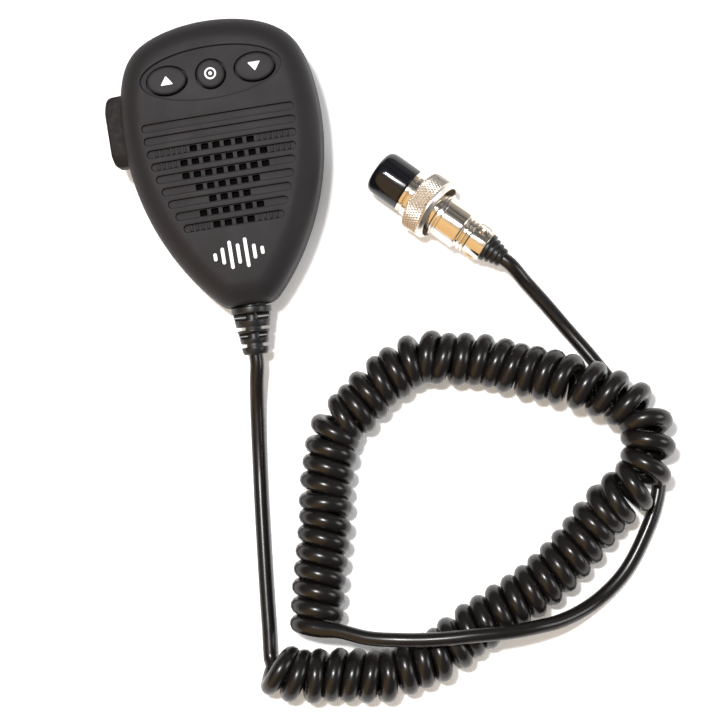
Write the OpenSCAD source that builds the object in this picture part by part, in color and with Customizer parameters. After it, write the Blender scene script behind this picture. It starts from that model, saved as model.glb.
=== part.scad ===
// Hand microphone with a curly cord and a round screw-ring plug.
// +Y runs along the microphone towards its top, +X to its right, +Z up.
// The microphone lies on its hang-up stud and on the lower edge of its back.
// The origin is under the middle of the microphone, on the surface it lies on.

/* [Microphone body] */
// Width of the body at its widest
body_w = 60.4; // [58:0.2:63]
// Length of the body without the cord boot
body_l = 87; // [85:0.5:90]
// Thickness of the front shell, from the parting line to the face
front_t = 14; // [13.5:0.5:15]
// Thickness of the rear shell, from the parting line to the back
rear_t = 12; // [11.5:0.5:13]
// Wall thickness of both shells
wall = 2; // [1.6:0.1:2.2]
// Depth of the oval recess that holds the keys
recess_depth = 0.9; // [0.6:0.1:1.1]

/* [Speaking slots] */
// Number of slot rows
slot_rows = 9; // [7:1:9]
// Distance between rows
slot_pitch = 3.89; // [3.6:0.01:3.95]
// Height of one slot
slot_h = 2.35; // [2:0.05:2.5]
// Length of the top slot
slot_l = 45.7; // [42:0.1:46]
// Depth of the blind part of a slot
slot_depth = 1; // [0.6:0.1:1.3]
// Width of one open hole in a slot
hole_w = 2; // [1.6:0.1:2.2]
// Distance between open holes
hole_pitch = 3.41; // [3.2:0.01:3.6]

/* [Keys and talk lever] */
// Length of the two oval keys
oval_key_l = 11.8; // [11:0.1:12.2]
// Height of the two oval keys
oval_key_h = 8.3; // [7.8:0.1:8.6]
// Diameter of the round centre key
round_key_d = 8.4; // [8:0.1:8.8]
// Length of the talk lever
lever_l = 21.4; // [20:0.1:21.4]
// How far the talk lever stands out of the body
lever_out = 3.7; // [3.2:0.1:4.6]

/* [Hang-up stud] */
// Height of the stud above the back
stud_h = 5.6; // [5:0.1:6.5]
// Diameter of the stud's head
stud_head_d = 13; // [12:0.5:14]
// Diameter of the stud's neck
stud_neck_d = 7.6; // [7:0.1:8.4]

/* [Cord] */
// Diameter of the cord
cord_d = 4.3; // [4:0.1:4.5]
// Outer diameter of the curly part
curl_d = 16.4; // [15.6:0.1:16.4]

/* [Plug] */
// Outer diameter of the knurled coupling ring
ring_d = 19.2; // [18.8:0.1:19.6]
// Angle at which the loose coupling ring hangs on the plug
ring_cock = 10; // [6:1:10]
// Diameter of the plug's barrel
barrel_d = 13; // [12.8:0.1:13]
// Outer diameter of the dust cap
cap_d = 14; // [13.8:0.1:14.4]

/* [Hidden] */

$fn = 48;
eps = 0.01;
fit = 0.05;

// Body outline: two side arcs, a top arc and a flat bottom, blended softly.
side_r = 78;
side_y = 11.6;
top_r = 54;
side_soft = 14;
bottom_soft = 70;
outline_n = 72;

// Front: upright wall, quarter-ellipse shoulder, then a slightly crowned face.
front_wall_h = 5;
front_draft = 0.6;
shoulder_w = 7;
crown_h = 1;
crown_inset = 20;
shoulder_h = front_t - crown_h - front_wall_h;
ceiling_z = front_t - crown_h - wall;

// Rear: upright wall, then a rounded edge down to a flat back.
rear_wall_h = 6.5;
rear_draft = 0.4;
rear_round = 5;
rear_floor_z = -(rear_t - wall);

// Lying attitude of the microphone.
stud_y = 17;
stud_face_d = stud_head_d - 1.2;
rest_y = body_l / 2 - rear_draft - rear_round;
tilt = atan(stud_h / (stud_y - stud_face_d / 2 + rest_y));
mic_x = lever_out / 2 + 0.35;
mic_y = -0.2;
mic_z = (rear_t + stud_h) * cos(tilt) - (stud_y - stud_face_d / 2) * sin(tilt);

// Keys.
recess_a = 21.2;
recess_b = 7.8;
recess_y = 26.3;
recess_z = front_t - 0.2 - recess_depth;
key_y = 25.9;
key_x = 13.2;
key_gap = 0.35;
key_top_z = front_t - 0.1;
key_flange_z = ceiling_z - 1.3;
key_flange_t = 1;
key_stem_r = 1.7;
board_z = 0.4;
board_t = 1.6;
board_top = board_z + board_t;
switch_w = 6;
switch_h = 3.4;
switch_button_top = board_top + switch_h + 1.35;
switch_button_l = 2.15;

// Speaking slots.
slot_top_y = 12.8;
slot_shrink = 0.243;
open_holes = [0, 0, 6, 8, 8, 6, 4, 6, 4];

// Case screws.
screw_places = [[-9, 35], [9, 35], [-12, -26], [12, -26]];
boss_r = 3;
screw_r = 1.25;
screw_head_r = 2.6;
screw_head_h = 2;
screw_seat_z = -8.6;
screw_seat_t = 1.4;
screw_tip_z = 7.5;
boss_foot_r = 4.2;

// Capsule.
capsule_y = -5;
capsule_r = 10;
capsule_z = 4.2;
capsule_h = 6.4;
cloth_t = 0.35;

// Talk lever, its pin, spring and switch.
lever_half_h = 6;
lever_y = 3.6;
lever_top_y = lever_y + lever_l;
lever_x = -(body_w / 2 + lever_out);
lever_corner = 2.4;
plate_x = -26.6;
plate_t = 2;
pivot_x = -25.2;
pivot_y = 22.5;
pin_r = 1;
lug_h = 2.6;
push_y = 7;
push_z = -2.6;
plunger_r = 1.5;
plunger_x = plate_x + plate_t + 0.15;
plunger_travel = 1.55;
talk_switch_x = -21.5;
talk_switch_size = [7, 8, 6.5];
spring_y = 14;
spring_r = 1.9;
spring_wire_r = 0.22;
spring_turns = 6;
spring_x0 = plate_x + plate_t + 0.05;
spring_x1 = -19.3;

// Cord exit and boot.
boot_collar_r = 6.15;
boot_collar_l = 2;
boot_l = 14.5;
boot_bend = 3;
boot_groove_r = 4.6;
boot_flange_r = 5.6;
boot_core_r = 2.5;
boot_web = 4.4;
exit_hole_r = boot_groove_r + fit;
boot_start_y = -body_l / 2;
// Outline of the boot beyond its collar, as [distance, radius].
boot_outline = [[2.1, 5.85], [6.1, 5.1], [7.1, 5], [11.2, 4.1], [12.2, 4.1], [13.8, 3.8]];
// Cuts across the boot, as [from, to, turn]: open above and below, or to both sides.
boot_cuts = [[2.1, 4.1, 0], [6.1, 7.1, 90], [7.9, 9.6, 0], [11.2, 12.2, 90]];
inner_end_y = -33.5;
cord_r = cord_d / 2;
curl_r = curl_d / 2;
cord_sides = 8;
curl_sides = 12;

// Cord route on the table, point by point.
lead_route = [
    [0.5, -64.5, 8.2], [-0.7, -71, 5.2], [-1.9, -79.9, 3.4], [-3.1, -90.4, 2.3],
    [-4.2, -101, 2.2], [-5.6, -116, 2.2], [-6.9, -131, 2.2], [-7.6, -139.9, 2.2],
    [-8.4, -148.2, 2.2]
];
curl_route = [
    [-7.6, -150.9, 8.25], [-5.3, -152.3, 8.25], [-0.8, -154.6, 8.25],
    [9.5, -155.9, 8.25], [20.6, -157.8, 8.25], [26.2, -158.4, 8.25],
    [31.5, -157.1, 8.25], [36.8, -155.9, 8.25], [42.4, -154.7, 8.25],
    [51.3, -149.5, 8.25], [56.8, -147.3, 8.25], [61.9, -144.9, 8.25],
    [71.7, -140.4, 8.25], [80.6, -134.9, 8.25], [89.3, -127.9, 8.25], [97.4, -120.2, 9],
    [102.7, -116.9, 10.6], [108.6, -112.9, 12.2], [112, -106.6, 12.8],
    [112.9, -101.3, 12.8], [112.3, -94.3, 12.8], [107.7, -89.6, 12.8],
    [101.8, -85.5, 12.8], [96.9, -82.6, 12.8], [91.4, -80.1, 11.8], [87.2, -78.1, 10.6],
    [77.3, -74.2, 8.6], [72, -71.5, 8.25], [65.1, -69.4, 8.25], [57.7, -68.2, 8.25],
    [52.1, -66.6, 8.25], [45.9, -67.7, 8.25], [40.9, -70.3, 8.25], [36, -72.6, 8.25],
    [31.9, -76.1, 8.25], [27.6, -79.6, 8.25], [22.8, -82.7, 8.25], [20.4, -86.9, 8.25],
    [18.6, -92.4, 8.25], [17.1, -97.3, 8.25], [15.8, -102, 8.25], [15.1, -107.6, 8.25],
    [12.7, -117.5, 8.25], [10.3, -127, 8.25], [9.1, -131.9, 8.25], [8, -137.2, 8.25],
    [7.2, -141.5, 8.25]
];
tail_route = [
    [7.2, -141.5, 14.1], [15.4, -143.9, 16.2], [21.9, -146.6, 17.6],
    [30.5, -148.5, 18.7], [38.9, -149.8, 18.8], [47.3, -150.5, 18.8],
    [52.6, -150.7, 18.6], [59.3, -151.1, 17.9], [64.9, -151.3, 16.6],
    [71.4, -151.1, 14.2], [77.9, -150.6, 10.6], [84, -149.1, 6.8], [89.2, -147, 4.2],
    [100, -139.5, 2.2], [107.6, -129.8, 2.2], [112.7, -120.8, 2.2],
    [114.7, -115.1, 2.2], [114.1, -105.8, 2.2], [110.5, -95.5, 2.2],
    [106.5, -83.7, 2.2], [102.1, -75.5, 2.2], [94.8, -63.5, 2.6], [90.4, -56.5, 4.2],
    [85, -48.5, 6.8]
];

// Plug: its own X axis runs from the cap's tip towards the cord.
plug_place = [46.4, -7.7];
plug_angle = -45.2;
ring_mid = 19.3;
ring_knurl_half = 2.8;
ring_bore_r = 8.2;
plug_z = ring_d / 2 * cos(ring_cock) + ring_knurl_half * sin(ring_cock) + 0.02;
barrel_r = barrel_d / 2;
cap_l = 11.3;
cap_wall = 1;
sleeve_front_r = cap_d / 2 - cap_wall - fit;
insert_r = 4.9;
sleeve_collar_x = 16.2;
barrel_x0 = 23;
barrel_x1 = 32.1;
neck_ring_r = 5.7;
neck_r = 5.1;
set_screw_x = 27.5;
clamp_x0 = barrel_x1 + 3;
clamp_x1 = clamp_x0 + 5.6;
clamp_bore_r = 3.05;
clamp_lug_z = 1.6;
clamp_roll = 40;
clamp_screw_x = clamp_x0 + 2.6;
clamp_screw_y = 4.35;
clamp_screw_r = 0.8;
clamp_head_r = 1.75;
plug_boot_end = 46.9;
contact_ring_r = 3;
contact_r = 0.8;

function ray_out(a, cx, cy, r) =
    let (k = cx * cos(a) + cy * sin(a))
    k + sqrt(k * k - cx * cx - cy * cy + r * r);

// Distance from the body's middle to its outline, moved in by inset.
function outline_r(a, inset) =
    let (
        right = ray_out(a, body_w / 2 - side_r, side_y, side_r - inset),
        left = ray_out(a, side_r - body_w / 2, side_y, side_r - inset),
        top = ray_out(a, 0, body_l / 2 - top_r, top_r - inset),
        upper = pow(
            pow(right, -side_soft) + pow(left, -side_soft) + pow(top, -side_soft),
            -1 / side_soft
        ),
        bottom = (body_l / 2 - inset) / max(-sin(a), 0.001)
    )
    pow(pow(upper, -bottom_soft) + pow(bottom, -bottom_soft), -1 / bottom_soft);

function outline(inset) = [
    for (i = [0 : outline_n - 1])
        let (a = 360 * i / outline_n)
        outline_r(a, inset) * [cos(a), sin(a)]
];

function ellipse(a, b, n = 48) = [
    for (i = [0 : n - 1]) [a * cos(360 * i / n), b * sin(360 * i / n)]
];

function stadium(l, h, n = 8) = concat(
    [for (i = [0 : n]) let (t = -90 + 180 * i / n) [(l - h) / 2 + h / 2 * cos(t), h / 2 * sin(t)]],
    [for (i = [0 : n]) let (t = 90 + 180 * i / n) [(h - l) / 2 + h / 2 * cos(t), h / 2 * sin(t)]]
);

// Height and inset of each level of the two shells' outer skins.
function front_levels(t) = concat(
    [[-t, t]],
    [for (b = [0 : 18 : 90]) [
        front_wall_h + (shoulder_h - t) * sin(b),
        t + front_draft + shoulder_w * (1 - cos(b))
    ]]
);

function rear_levels(t) = concat(
    [[t, t]],
    [for (b = [0 : 18 : 90]) [
        -rear_wall_h - (rear_t - rear_wall_h - t) * sin(b),
        t + rear_draft + rear_round * (1 - cos(b))
    ]]
);

// Points of the lying microphone, of its bent boot's axis and of the plug's axis.
function lie_at(p) = [
    mic_x + p[0],
    mic_y + p[1] * cos(tilt) - p[2] * sin(tilt),
    mic_z + p[1] * sin(tilt) + p[2] * cos(tilt)
];

function boot_at(s) =
    lie_at([-s * sin(boot_bend), boot_start_y - s * cos(boot_bend), 0]);

function plug_at(x) = [
    plug_place[0] + x * cos(plug_angle),
    plug_place[1] + x * sin(plug_angle),
    plug_z
];

module skin(levels) {
    hull()
        for (l = levels)
            translate([0, 0, l[0]])
                linear_extrude(eps)
                    polygon(outline(l[1]));
}

module lie() {
    translate([mic_x, mic_y, mic_z])
        rotate([tilt, 0, 0])
            children();
}

module on_plug() {
    translate(plug_at(0))
        rotate([0, 0, plug_angle])
            children();
}

module on_ring() {
    on_plug()
        translate([ring_mid, 0, 0])
            rotate([0, -ring_cock, 0])
                children();
}

// A turned piece about the plug's axis, from a profile of [along, radius].
module turned(profile) {
    rotate([0, 90, 0])
        rotate_extrude()
            polygon([for (p = profile) [p[1], p[0]]]);
}

module tube_x(x0, x1, r_out, r_in) {
    turned([[x0, r_in], [x1, r_in], [x1, r_out], [x0, r_out]]);
}

module rod_x(x0, x1, r) {
    translate([x0, 0, 0])
        rotate([0, 90, 0])
            cylinder(r = r, h = x1 - x0);
}

module rod_y(y0, y1, r) {
    translate([0, y0, 0])
        rotate([-90, 0, 0])
            cylinder(r = r, h = y1 - y0);
}

module rod_z(z0, z1, r) {
    translate([0, 0, z0])
        cylinder(r = r, h = z1 - z0);
}

module at_screws() {
    for (p = screw_places)
        translate([p[0], p[1], 0])
            children();
}

// A tube swept along points; its first and last faces stay square to the route.
function unit(v) = v / norm(v);
function route_dir(p, i) =
    unit(p[min(i + 1, len(p) - 1)] - p[max(i - 1, 0)]);

module swept(p, r, sides) {
    rings = [
        for (i = [0 : len(p) - 1])
            let (
                d = route_dir(p, i),
                side = unit(cross(d, [0, 0, 1])),
                up = cross(side, d)
            )
            for (k = [0 : sides - 1])
                let (a = 360 * (k + 0.5) / sides)
                p[i] + r * (cos(a) * side + sin(a) * up)
    ];
    last = (len(p) - 1) * sides;
    walls = [
        for (i = [0 : len(p) - 2], k = [0 : sides - 1])
            let (a = i * sides + k, b = i * sides + (k + 1) % sides)
            [a, b, b + sides, a + sides]
    ];
    ends = [
        [for (k = [sides - 1 : -1 : 0]) k],
        [for (k = [0 : sides - 1]) last + k]
    ];
    polyhedron(points = rings, faces = concat(walls, ends), convexity = 10);
}

module lever_opening() {
    translate([lever_x, lever_y - 0.9, -lever_half_h - 0.3])
        cube([plate_x + plate_t + 0.4 - lever_x, lever_l + 1.5, 2 * lever_half_h + 0.6]);
}

module pin_lug(z0, z1) {
    difference() {
        translate([-27.2, pivot_y - 2.4, z0])
            cube([4.4, 4.8, z1 - z0]);
        translate([pivot_x, pivot_y, 0])
            rod_z(z0 - eps, z1 + eps, pin_r + 0.03);
    }
}

module pin_hole() {
    z = lever_half_h + lug_h + 2 * eps;
    translate([pivot_x, pivot_y, 0])
        rod_z(-z, z, pin_r + 0.03);
}

module slots() {
    for (i = [0 : slot_rows - 1]) {
        y = slot_top_y - slot_pitch * i;
        translate([0, y, front_t - slot_depth])
            linear_extrude(front_t)
                polygon(stadium(slot_l - slot_shrink * i * i, slot_h));
        if (open_holes[i] > 0)
            for (k = [0 : open_holes[i] - 1])
                translate([hole_pitch * (k - (open_holes[i] - 1) / 2), y, front_t / 2 + 2])
                    linear_extrude(front_t)
                        square([hole_w, slot_h], center = true);
    }
}

module key_opening(a, b) {
    translate([0, 0, key_flange_z])
        linear_extrude(front_t)
            polygon(ellipse(a + key_gap, b + key_gap));
}

module front_shell() {
    color([0.24, 0.235, 0.24])
    lie() {
        difference() {
            skin(concat([[0, 0]], [for (l = front_levels(0)) if (l[0] > 0) l],
                [[front_t - eps, crown_inset]]));
            skin(front_levels(wall));
            slots();
            translate([0, recess_y, recess_z])
                linear_extrude(front_t)
                    polygon(ellipse(recess_a, recess_b));
            for (s = [-1, 1])
                translate([s * key_x, key_y, 0])
                    key_opening(oval_key_l / 2, oval_key_h / 2);
            translate([0, key_y, 0])
                key_opening(round_key_d / 2, round_key_d / 2);
            lever_opening();
            pin_hole();
            rod_y(-body_l, inner_end_y, exit_hole_r);
        }
        at_screws()
            difference() {
                rod_z(board_top, ceiling_z + 0.4, boss_r);
                rod_z(board_top - eps, ceiling_z - 1, screw_r + fit);
            }
        pin_lug(lever_half_h + 0.3, lever_half_h + 0.3 + lug_h);
    }
}

module rear_shell() {
    color([0.2, 0.195, 0.2])
    lie() {
        difference() {
            union() {
                difference() {
                    skin(concat([[-eps, 0]], [for (l = rear_levels(0)) if (l[0] < 0) l]));
                    skin(rear_levels(wall));
                }
                at_screws() {
                    rod_z(rear_floor_z - 0.5, board_z, boss_r);
                    rod_z(rear_floor_z - 0.5, screw_seat_z + screw_seat_t, boss_foot_r);
                }
                translate([spring_x1, spring_y - 2.8, rear_floor_z - 0.5])
                    cube([1.2, 5.6, -rear_floor_z + 0.5]);
            }
            at_screws() {
                rod_z(-rear_t - 1, screw_seat_z, screw_head_r + 0.3);
                rod_z(-rear_t, board_z + 1, screw_r + 0.25);
            }
            translate([0, stud_y, 0])
                rod_z(-rear_t - 1, rear_floor_z + 1, 1.9);
            lever_opening();
            pin_hole();
            rod_y(-body_l, inner_end_y, exit_hole_r);
        }
        pin_lug(-lever_half_h - 0.3 - lug_h, -lever_half_h - 0.3);
    }
}

module grille_cloth() {
    color([0.06, 0.06, 0.06])
    lie()
        translate([0, capsule_y - 1, 0])
            rod_z(ceiling_z - cloth_t - eps, ceiling_z - eps, 14.5);
}

module mic_capsule() {
    color([0.75, 0.75, 0.76])
    lie()
        translate([0, capsule_y, capsule_z])
            rotate_extrude()
                polygon([
                    [0, 0], [capsule_r, 0], [capsule_r, capsule_h - 0.6],
                    [capsule_r - 0.6, capsule_h], [capsule_r - 2, capsule_h],
                    [capsule_r - 2, capsule_h - 0.5], [0, capsule_h - 0.5]
                ]);
}

module capsule_gasket() {
    color([0.1, 0.1, 0.1])
    lie()
        translate([0, capsule_y, 0])
            difference() {
                rod_z(capsule_z + 1, ceiling_z - cloth_t - 2 * eps, capsule_r + 2);
                rod_z(capsule_z, ceiling_z, capsule_r + fit);
            }
}

module capsule_leads() {
    color([0.75, 0.1, 0.1])
    lie()
        for (s = [-1, 1])
            translate([3 * s, capsule_y, 0])
                rod_z(board_top, capsule_z, 0.4);
}

module circuit_board() {
    color([0.08, 0.35, 0.18])
    lie()
        translate([0, 0, board_z])
            difference() {
                linear_extrude(board_t)
                    intersection() {
                        polygon(outline(wall + 2.2));
                        translate([-40, -30])
                            square([80, 68]);
                    }
                translate([-40, -1, -1])
                    cube([40 + talk_switch_x - 0.5, 29, 5]);
                at_screws()
                    rod_z(-1, 3, screw_r + 0.3);
            }
}

module audio_chip() {
    color([0.05, 0.05, 0.05])
    lie()
        translate([-9, 9, board_top])
            cube([9.9, 3.9, 1.6]);
}

module board_capacitors() {
    color([0.12, 0.16, 0.3])
    lie()
        for (x = [7, 13.5])
            translate([x, 12, 0])
                rod_z(board_top, board_top + 6, 2.5);
}

module cord_header() {
    color([0.9, 0.88, 0.8])
    lie()
        translate([-5, -26.5, board_z - 4.5])
            cube([10, 5, 4.5]);
}

module harness_plug() {
    color([0.93, 0.92, 0.86])
    lie()
        translate([-4.7, -31, board_z - 4])
            cube([9.4, 4.5, 3.2]);
}

module harness_wires() {
    color([0.8, 0.7, 0.2])
    lie()
        for (w = [[-1.2, -1], [0, -1], [1.2, -1], [-0.6, -1.75], [0.6, -1.75]])
            translate([w[0], 0, w[1]])
                rod_y(inner_end_y, -31, 0.35);
}

module at_keys() {
    for (x = [-key_x, 0, key_x])
        translate([x, key_y, 0])
            children();
}

module key_switches() {
    color([0.15, 0.15, 0.16])
    lie()
        at_keys()
            difference() {
                translate([-switch_w / 2, -switch_w / 2, board_top])
                    cube([switch_w, switch_w, switch_h]);
                rod_z(switch_button_top - switch_button_l - 0.6, board_top + switch_h + 1,
                    key_stem_r + 0.1);
            }
}

module key(a, b) {
    hull() {
        translate([0, 0, key_flange_z + key_flange_t - eps])
            linear_extrude(key_top_z - key_flange_z - key_flange_t - 0.5)
                polygon(ellipse(a, b));
        translate([0, 0, key_top_z - 0.25])
            linear_extrude(eps)
                polygon(ellipse(a - 0.4, b - 0.4));
        translate([0, 0, key_top_z - eps])
            linear_extrude(eps)
                polygon(ellipse(a - 1.6, b - 1.6));
    }
    translate([0, 0, key_flange_z])
        linear_extrude(key_flange_t)
            polygon(ellipse(a + 1, b + 1));
    rod_z(switch_button_top + 0.05, key_flange_z + eps, key_stem_r);
}

module switch_button() {
    rod_z(switch_button_top - switch_button_l, switch_button_top, key_stem_r);
}

module up_key() {
    color([0.22, 0.215, 0.22])
    lie()
        translate([-key_x, key_y, 0])
            key(oval_key_l / 2, oval_key_h / 2);
}

module up_switch_button() {
    color([0.6, 0.2, 0.15])
    lie()
        translate([-key_x, key_y, 0])
            switch_button();
}

module centre_key() {
    color([0.22, 0.215, 0.22])
    lie()
        translate([0, key_y, 0])
            key(round_key_d / 2, round_key_d / 2);
}

module centre_switch_button() {
    color([0.6, 0.2, 0.15])
    lie()
        translate([0, key_y, 0])
            switch_button();
}

module down_key() {
    color([0.22, 0.215, 0.22])
    lie()
        translate([key_x, key_y, 0])
            key(oval_key_l / 2, oval_key_h / 2);
}

module down_switch_button() {
    color([0.6, 0.2, 0.15])
    lie()
        translate([key_x, key_y, 0])
            switch_button();
}

module talk_lever() {
    color([0.13, 0.11, 0.1])
    lie()
        difference() {
            union() {
                translate([0, 0, -lever_half_h])
                    linear_extrude(2 * lever_half_h)
                        hull() {
                            for (y = [lever_y + lever_corner, lever_top_y - lever_corner])
                                translate([lever_x + lever_corner, y])
                                    circle(r = lever_corner);
                            translate([plate_x - 1, lever_y])
                                square([2, lever_l]);
                        }
                translate([plate_x, lever_y - 3, -lever_half_h])
                    cube([plate_t, lever_l + 3, 2 * lever_half_h]);
                translate([pivot_x, pivot_y, 0])
                    rod_z(-lever_half_h, lever_half_h, pin_r + 1.6);
            }
            translate([pivot_x, pivot_y, 0])
                rod_z(-lever_half_h - 1, lever_half_h + 1, pin_r + fit);
        }
}

module lever_pin() {
    color([0.7, 0.7, 0.72])
    lie()
        translate([pivot_x, pivot_y, 0])
            rod_z(-lever_half_h - lug_h, lever_half_h + lug_h, pin_r);
}

module lever_spring() {
    steps = 12;
    n = spring_turns * steps;
    color([0.75, 0.75, 0.77])
    lie()
        translate([0, spring_y, push_z])
            swept([
                for (i = [0 : n])
                    let (a = 360 * i / steps, t = i / n)
                    [
                        spring_x0 + spring_wire_r
                            + (spring_x1 - spring_x0 - 2 * spring_wire_r - 0.05) * t,
                        spring_r * cos(a), spring_r * sin(a)
                    ]
            ], spring_wire_r, 6);
}

module talk_switch() {
    color([0.08, 0.08, 0.09])
    lie()
        difference() {
            translate([talk_switch_x, push_y - talk_switch_size[1] / 2,
                board_z - fit - talk_switch_size[2]])
                cube(talk_switch_size);
            translate([0, push_y, push_z])
                rod_x(talk_switch_x - 1, talk_switch_x + 1 + plunger_travel + 0.3,
                    plunger_r + 0.1);
        }
}

module talk_switch_plunger() {
    color([0.85, 0.85, 0.82])
    lie()
        translate([plunger_x, push_y, push_z])
            rotate([0, 90, 0])
                rotate_extrude()
                    intersection() {
                        square([plunger_r, talk_switch_x + 1 - plunger_x]);
                        translate([0, 2])
                            union() {
                                circle(r = 2);
                                square([2, 20]);
                            }
                    }
}

module hang_stud() {
    r = stud_head_d / 2;
    face_r = stud_face_d / 2;
    neck_r = stud_neck_d / 2;
    head_t = 2;
    color([0.72, 0.72, 0.74])
    lie()
        translate([0, stud_y, -rear_t - stud_h])
            rotate_extrude()
                polygon([
                    [0, 0], [face_r, 0], [r, 0.6], [r, head_t - 0.3], [r - 0.3, head_t],
                    [neck_r, head_t], [neck_r, stud_h - eps], [1.85, stud_h - eps],
                    [1.85, 1.8], [0, 1.8]
                ]);
}

module stud_screw() {
    color([0.7, 0.7, 0.72])
    lie()
        translate([0, stud_y, 0]) {
            rod_z(rear_floor_z, rear_floor_z + 2, 3.2);
            rod_z(-rear_t - 3, rear_floor_z + eps, 1.8);
        }
}

module case_screws() {
    color([0.12, 0.12, 0.13])
    lie()
        at_screws() {
            difference() {
                rod_z(screw_seat_z - screw_head_h, screw_seat_z - eps, screw_head_r);
                for (a = [0, 90])
                    rotate([0, 0, a])
                        translate([-1.5, -0.3, screw_seat_z - screw_head_h - 1])
                            cube([3, 0.6, 1.9]);
            }
            rod_z(screw_seat_z - 2 * eps, screw_tip_z, screw_r);
        }
}

// The boot's bent part: a taper with cuts across it, which leave webs and a round core.
module boot_taper() {
    rotate([90, 0, 0])
        difference() {
            rotate_extrude()
                polygon(concat(
                    [[0, boot_collar_l - 0.6], [boot_outline[0][1], boot_collar_l - 0.6]],
                    [for (p = boot_outline) [p[1], p[0]]],
                    [[3.4, boot_l], [0, boot_l]]
                ));
            for (c = boot_cuts)
                difference() {
                    translate([-10, -10, c[0]])
                        cube([20, 20, c[1] - c[0]]);
                    rotate([0, 0, c[2]])
                        translate([-10, -boot_web / 2, c[0] - 1])
                            cube([20, boot_web, 4]);
                    rod_z(c[0] - 1, c[1] + 1, boot_core_r);
                }
        }
}

// Boot, moulded onto the cord: an inner flange, a groove for the shells' hole,
// a collar, then the tapered part.
module cord_boot() {
    flange = wall + 0.8;
    color([0.07, 0.07, 0.07])
    lie()
        translate([0, boot_start_y, 0]) {
            rotate([90, 0, 0])
                rotate_extrude()
                    polygon([
                        [0, -0.5], [cord_r + fit, -0.5], [cord_r + fit, -flange - 1.4],
                        [boot_flange_r, -flange - 1.4], [boot_flange_r, -flange],
                        [boot_groove_r, -flange], [boot_groove_r, fit],
                        [boot_collar_r, fit], [boot_collar_r, boot_collar_l - 0.3],
                        [boot_collar_r - 0.2, boot_collar_l], [0, boot_collar_l]
                    ]);
            rotate([0, 0, -boot_bend])
                boot_taper();
        }
}

module cord_inner() {
    color([0.05, 0.05, 0.05])
    lie()
        rod_y(boot_start_y + 0.5, inner_end_y, cord_r);
}

module cord_tie() {
    color([0.85, 0.84, 0.8])
    lie()
        translate([0, inner_end_y - 3.6, 0]) {
            difference() {
                rod_y(0, 2.4, cord_r + 1);
                rod_y(-1, 3.4, cord_r);
            }
            translate([-2, 0, -cord_r - 2.6])
                cube([4, 2.4, 2.2]);
        }
}

// The lead starts square on the boot's end, which is where the cord leaves it.
module cord_lead() {
    start = [boot_at(boot_l + eps), boot_at(boot_l + 3)];
    color([0.05, 0.05, 0.05])
        swept(concat(start, lead_route), cord_r, cord_sides);
}

module cord_curl() {
    color([0.05, 0.05, 0.05])
        swept(curl_route, curl_r, curl_sides);
}

// The tail ends square on the plug boot's end.
module cord_tail() {
    end = [plug_at(plug_boot_end + 1.5), plug_at(plug_boot_end + eps)];
    color([0.05, 0.05, 0.05])
        swept(concat(tail_route, end), cord_r, cord_sides);
}

module plug_boot() {
    x0 = clamp_x1 + 0.05;
    color([0.05, 0.05, 0.05])
    on_plug()
        turned([
            [clamp_x0 + 0.2, 0], [clamp_x0 + 0.2, 3], [x0, 3], [x0, 4.5],
            [x0 + 1.2, 4.4], [x0 + 1.2, 3.4], [x0 + 1.7, 3.4], [x0 + 1.7, 3.9],
            [x0 + 2.8, 3.8], [x0 + 2.8, 3.1], [x0 + 3.3, 3.1], [x0 + 3.3, 3.4],
            [x0 + 4.4, 3.3], [x0 + 4.4, 2.8], [x0 + 4.9, 2.8], [x0 + 4.9, 3],
            [plug_boot_end, 2.9], [plug_boot_end, 0]
        ]);
}

// The cord clamp sits rolled about the plug's axis.
module on_clamp() {
    rotate([clamp_roll, 0, 0])
        children();
}

// Barrel with a stepped neck; its lower half runs on as the cord clamp's bed.
module plug_barrel() {
    color([0.82, 0.8, 0.77])
    on_plug()
        difference() {
            union() {
                turned([
                    [barrel_x0, 5], [barrel_x0, barrel_r - 0.15],
                    [barrel_x0 + 0.3, barrel_r], [barrel_x1 - 0.2, barrel_r],
                    [barrel_x1, barrel_r - 0.2], [barrel_x1, neck_ring_r],
                    [barrel_x1 + 0.6, neck_ring_r], [barrel_x1 + 0.6, neck_r],
                    [barrel_x1 + 1.1, neck_r], [barrel_x1 + 1.1, neck_ring_r],
                    [barrel_x1 + 1.9, neck_ring_r], [barrel_x1 + 1.9, neck_r],
                    [barrel_x1 + 2.4, neck_r], [barrel_x1 + 2.4, neck_ring_r],
                    [clamp_x0, neck_ring_r], [clamp_x0, clamp_bore_r + fit],
                    [barrel_x1 + 0.6, clamp_bore_r + fit], [barrel_x1 + 0.6, 5]
                ]);
                on_clamp() difference() {
                    union() {
                        tube_x(clamp_x0 - 0.1, clamp_x1, 5, clamp_bore_r);
                        for (s = [-1, 1])
                            translate([clamp_screw_x - 2, s * clamp_screw_y - 1.35, -clamp_lug_z])
                                cube([4, 2.7, clamp_lug_z - 0.1]);
                    }
                    translate([clamp_x0 + 2 * eps, -7, -0.1])
                        cube([6, 14, 8]);
                    rod_x(clamp_x0 - 1, clamp_x1 + 1, clamp_bore_r);
                }
            }
            translate([set_screw_x, 0, 0])
                rod_z(-barrel_r - 1, -insert_r + 0.4, 1.3);
            on_clamp() {
                for (s = [-1, 1])
                    translate([clamp_screw_x, s * clamp_screw_y, 0])
                        rod_z(-3, 1, clamp_screw_r + fit);
                translate([clamp_screw_x, -clamp_screw_y, 0])
                    rod_z(-barrel_r, -clamp_lug_z, clamp_head_r + 0.15);
            }
        }
}

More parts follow.
